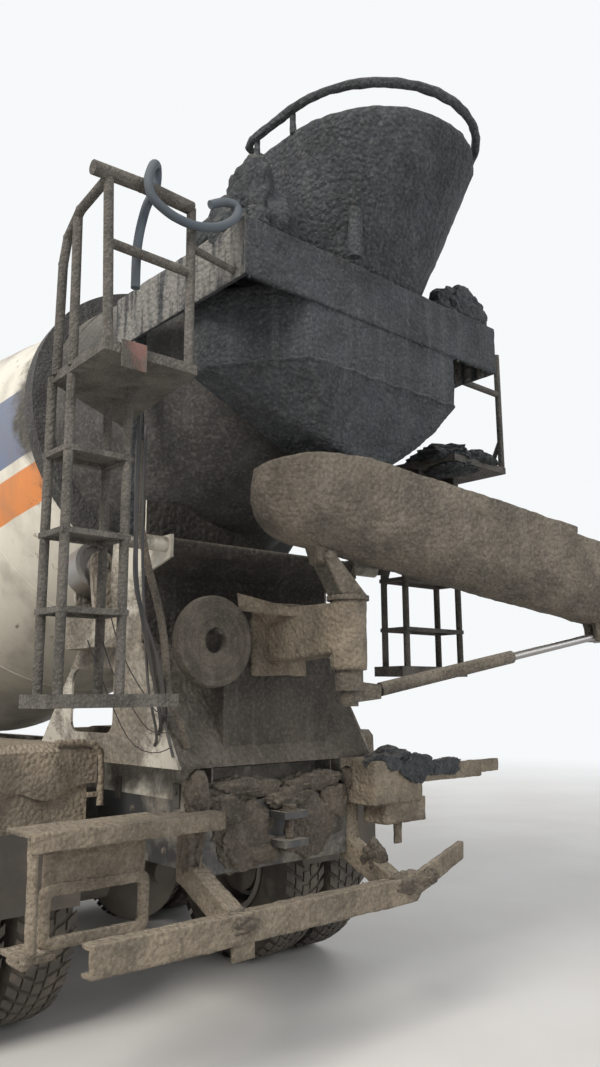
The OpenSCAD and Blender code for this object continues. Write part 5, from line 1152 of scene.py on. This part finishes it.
class MIXER_OT_running(MixerOperator, bpy.types.Operator):
    """Frame bolts, spring clips, brake chambers, air lines, tank straps and caps"""
    bl_idname = "mixer.running"
    bl_label = "Running Gear Fittings"

    def execute(self, context):
        iron, line, steel, cap = Form(), Form(), Form(), Form()
        for s in (1, -1):
            for i in range(27):
                x = 0.62 + i * 0.272
                for z in (0.84, 0.995):
                    iron.bolt(at(x, s * 0.4255, z), (0, s, 0), 0.012, 0.010)
            # Spring clips of the front axle and of the trunnion
            for x, y, z0, z1 in ((6.895, 0.385, 0.545, 0.715), (2.22, 0.515, 0.52, 0.66)):
                for dx in (-0.042, 0.042):
                    ring = [(x + dx, s * (y - 0.047), z0), (x + dx, s * (y - 0.047), z1),
                            (x + dx, s * (y + 0.047), z1),
                            (x + dx, s * (y + 0.047), z0)]
                    iron.tube([at(*p) for p in ring], 0.009, 8)
            # Brake chambers with their hoses
            for ax in (1.545, 2.895):
                iron.lathe([(0.0001, 0), (0.055, 0), (0.076, 0.03), (0.082, 0.06), (0.082, 0.07),
                            (0.076, 0.10),
                            (0.055, 0.13), (0.0001, 0.13)], at(ax + 0.11, s * 0.335, 0.66), (1, 0, 0.1), 24)
                iron.tube([at(ax + 0.11, s * 0.335, 0.66), at(ax + 0.02, s * 0.335, 0.65)], 0.012, 8)
                ends = ((ax + 0.18, s * 0.335, 0.745), (ax + 0.20, s * 0.36, 0.80),
                        (ax + 0.26, s * 0.39, 0.86), (ax + 0.30, s * 0.395, 0.93))
                line.tube(through([at(*p) for p in ends], 5), 0.008, 8)
            for z in (0.93, 0.955):
                line.tube([at(x, s * 0.398 + 0.002 * math.sin(x * 6), z + 0.004 * math.sin(x * 9))
                           for x in rolling(0.70, 5.60, 60)], 0.0065, 6)
        # Tank straps, cap and drain
        for x in (4.26, 4.94):
            ring = [(x, -0.486, 0.474), (x, -1.06, 0.474), (x, -1.131, 0.55), (x, -1.131, 0.99),
                    (x, -1.06, 1.066), (x, -0.486, 1.066)]
            pts = [at(*p) for p in ring]
            for a, b in zip(pts, pts[1:]):
                steel.tube([a, b], 0.012, 4)
        cap.lathe([(0.0001, 0), (0.055, 0), (0.055, 0.03), (0.045, 0.04), (0.0001, 0.04)],
                  at(4.80, -0.80, 1.058), (0, 0, 1), 28)
        cap.lathe([(0.0001, 0), (0.030, 0), (0.030, 0.02), (0.0001, 0.02)], at(4.40, -0.80, 1.058),
                  (0, 0, 1), 20)
        # Battery box lid and latches, end rings of the air tanks
        slab(iron, (4.07, 0.44, 1.000), (4.64, 0.99, 1.012))
        for x in (4.20, 4.50):
            slab(steel, (x, 0.986, 0.93), (x + 0.03, 0.995, 1.03))
        for z in (0.640, 0.900):
            for x in (4.80, 5.32):
                steel.lathe([(0.114, 0), (0.119, 0.004), (0.119, 0.020), (0.114, 0.024)], at(x, 0.7553, z),
                            (1, 0, 0), 32)
            cap.bolt(at(5.10, 0.7553, z - 0.114), (0, 0, -1), 0.014, 0.018)
        # Silencer clamps and tail pipe
        for x in (5.31, 5.55):
            steel.lathe([(0.209, 0), (0.214, 0.003), (0.214, 0.022), (0.209, 0.025)], at(x, -0.7553, 0.80),
                        (1, 0, 0), 40)
        iron.tube(through([at(*p) for p in ((5.35, -0.7553, 0.62), (5.35, -0.80, 0.54), (5.35, -0.93, 0.50),
                                            (5.35, -0.99, 0.49))], 4),
                  0.045, 16)
        # Water tank: straps, filler and sight tube
        for y in (-0.62, 0.62):
            steel.lathe([(0.214, 0), (0.219, 0.004), (0.219, 0.046), (0.214, 0.05)],
                        at(5.925, y - 0.025, 1.75), (0, 1, 0), 48)
        cap.lathe([(0.0001, 0), (0.07, 0), (0.07, 0.02), (0.055, 0.03), (0.0001, 0.03)],
                  at(5.925, 0.25, 1.958), (0, 0, 1), 28)
        line.tube(through([at(*p) for p in ((5.72, 0.80, 1.60), (5.70, 0.80, 1.66), (5.695, 0.80, 1.76),
                                            (5.72, 0.80, 1.88))], 4), 0.009, 8)
        # Engine ribs and pulley
        for x in rolling(6.32, 7.26, 9):
            for s in (1, -1):
                slab(iron, (x, 0.299 if s > 0 else -0.312, 0.72),
                     (x + 0.02, 0.312 if s > 0 else -0.299, 1.16))
        iron.lathe([(0.0001, 0), (0.12, 0), (0.12, 0.015), (0.10, 0.022), (0.12, 0.030), (0.12, 0.045),
                    (0.0001, 0.045)],
                   at(7.334, 0, 0.95), (1, 0, 0), 32)
        # Gearbox bolts, motor and its two pressure hoses
        iron.lathe([(0.0001, 0), (0.10, 0), (0.10, 0.02), (0.075, 0.03), (0.075, 0.13), (0.05, 0.16),
                    (0.0001, 0.16)],
                   at(5.606, 0, 2.08), (1, 0, -0.2), 28)
        for y in (-0.04, 0.04):
            line.tube(through([at(*p) for p in ((5.70, y, 2.03), (5.74, y * 2, 1.90), (5.66, y * 3, 1.60),
                                                (5.60, y * 4, 1.35),
                                               (5.58, y * 5, 1.21))], 5), 0.014, 10)
        for s in (1, -1):
            for x in rolling(0.50, 5.50, 11):
                slab(iron, (x, 0.4245 if s > 0 else -0.4325, 1.03),
                     (x + 0.05, 0.4325 if s > 0 else -0.4245, 1.13))
                iron.bolt(at(x + 0.025, s * 0.4325, 1.095), (0, s, 0), 0.012, 0.010)
        iron.piece("frame_fittings", "chassis", MATERIALS["running_gear"], "axle_iron")
        line.piece("air_lines", "chassis", MATERIALS["black_plastic"], "hose")
        steel.piece("straps", "chassis", MATERIALS["worn_steel"], "roller_steel")
        cap.piece("caps", "chassis", MATERIALS["black_plastic"], "cab_trim")
        return {"FINISHED"}


class MIXER_OT_drum_parts(MixerOperator, bpy.types.Operator):
    """Weld seams and the bolted hatch of the drum"""
    bl_idname = "mixer.drum_parts"
    bl_label = "Drum Fittings"

    def execute(self, context):
        axis = Vector((math.cos(DRUM_TILT), 0, -math.sin(DRUM_TILT)))
        mouth = at(*DRUM_MOUTH)
        up = Vector((math.sin(DRUM_TILT), 0, math.cos(DRUM_TILT)))
        side = axis.cross(up)
        seams, hatch = Form(), Form()
        for s, r in ((0.90, 0.789), (1.65, 0.980), (2.300, DRUM_R), (3.650, DRUM_R)):
            seams.lathe([(r - 0.003, -0.008), (r + 0.003, -0.004), (r + 0.003, 0.004), (r - 0.003, 0.008)],
                        mouth + axis * s, axis, 96)
        for turn in (0.4, 2.5, 4.6):
            d = up * math.cos(turn) + side * math.sin(turn)
            seams.tube([mouth + axis * s + d * DRUM_R for s in (2.31, 2.98, 3.64)], 0.004, 5)
        # Oval hatch bent to the shell
        n = 40
        hatch_turn, hatch_s = 5.35, 2.98
        def place(u, v, lift):
            turn = hatch_turn + v / DRUM_R
            d = up * math.cos(turn) + side * math.sin(turn)
            return mouth + axis * (hatch_s + u) + d * (DRUM_R + lift)
        verts = [place(0, 0, 0.014)]
        for r, lift in ((0.10, 0.014), (0.19, 0.014), (0.20, 0.012), (0.20, -0.004)):
            for k in range(n):
                a = 2 * math.pi * k / n
                verts.append(place(r * 1.25 * math.cos(a), r * math.sin(a), lift))
        faces = [(0, 1 + k, 1 + (k + 1) % n) for k in range(n)]
        for q in range(3):
            for k in range(n):
                faces.append((1 + q * n + k, 1 + (q + 1) * n + k, 1 + (q + 1) * n + (k + 1) % n,
                              1 + q * n + (k + 1) % n))
        hatch.add(verts, faces)
        for k in range(12):
            a = 2 * math.pi * k / 12
            p = place(0.175 * 1.25 * math.cos(a), 0.175 * math.sin(a), 0.013)
            hatch.bolt(p, (place(0.2 * math.cos(a), 0.17 * math.sin(a),
                                 0.1) - place(0.2 * math.cos(a), 0.17 * math.sin(a), 0)), 0.012, 0.012)
        seams.piece("drum_seams", "drum", MATERIALS["drum_paint"], "cream_paint")
        hatch.piece("drum_hatch", "drum", MATERIALS["drum_paint"], "cream_paint")
        return {"FINISHED"}


CLASSES = [MixerColours, MixerSizes, MIXER_OT_stage, MIXER_OT_finishes, MIXER_OT_hoses, MIXER_OT_crust,
           MIXER_OT_tyres, MIXER_OT_lumps, MIXER_OT_rear, MIXER_OT_cab, MIXER_OT_running,
           MIXER_OT_drum_parts]
STEPS = ["finishes", "stage", "hoses", "crust", "tyres", "lumps", "rear", "cab", "running", "drum_parts"]


class MIXER_PT_panel(bpy.types.Panel):
    """Sizes, colours and the steps that build the truck's looks"""
    bl_idname = "MIXER_PT_panel"
    bl_label = "Mixer Truck"
    bl_space_type = "VIEW_3D"
    bl_region_type = "UI"
    bl_category = "Mixer"

    def draw(self, context):
        for group_name in ("mixer_colours", "mixer_sizes"):
            owner = getattr(context.scene, group_name)
            box = self.layout.box()
            for prop in owner.bl_rna.properties:
                if prop.identifier not in ("rna_type", "name"):
                    box.prop(owner, prop.identifier)
        for step in STEPS:
            self.layout.operator("mixer." + step)


def register():
    for cls in CLASSES + [MIXER_PT_panel]:
        bpy.utils.register_class(cls)
    bpy.types.Scene.mixer_colours = bpy.props.PointerProperty(type=MixerColours)
    bpy.types.Scene.mixer_sizes = bpy.props.PointerProperty(type=MixerSizes)


def unregister():
    del bpy.types.Scene.mixer_sizes
    del bpy.types.Scene.mixer_colours
    for cls in reversed(CLASSES + [MIXER_PT_panel]):
        bpy.utils.unregister_class(cls)


def main():
    register()
    for step in STEPS:
        getattr(bpy.ops.mixer, step)()


if __name__ == "__main__":
    main()
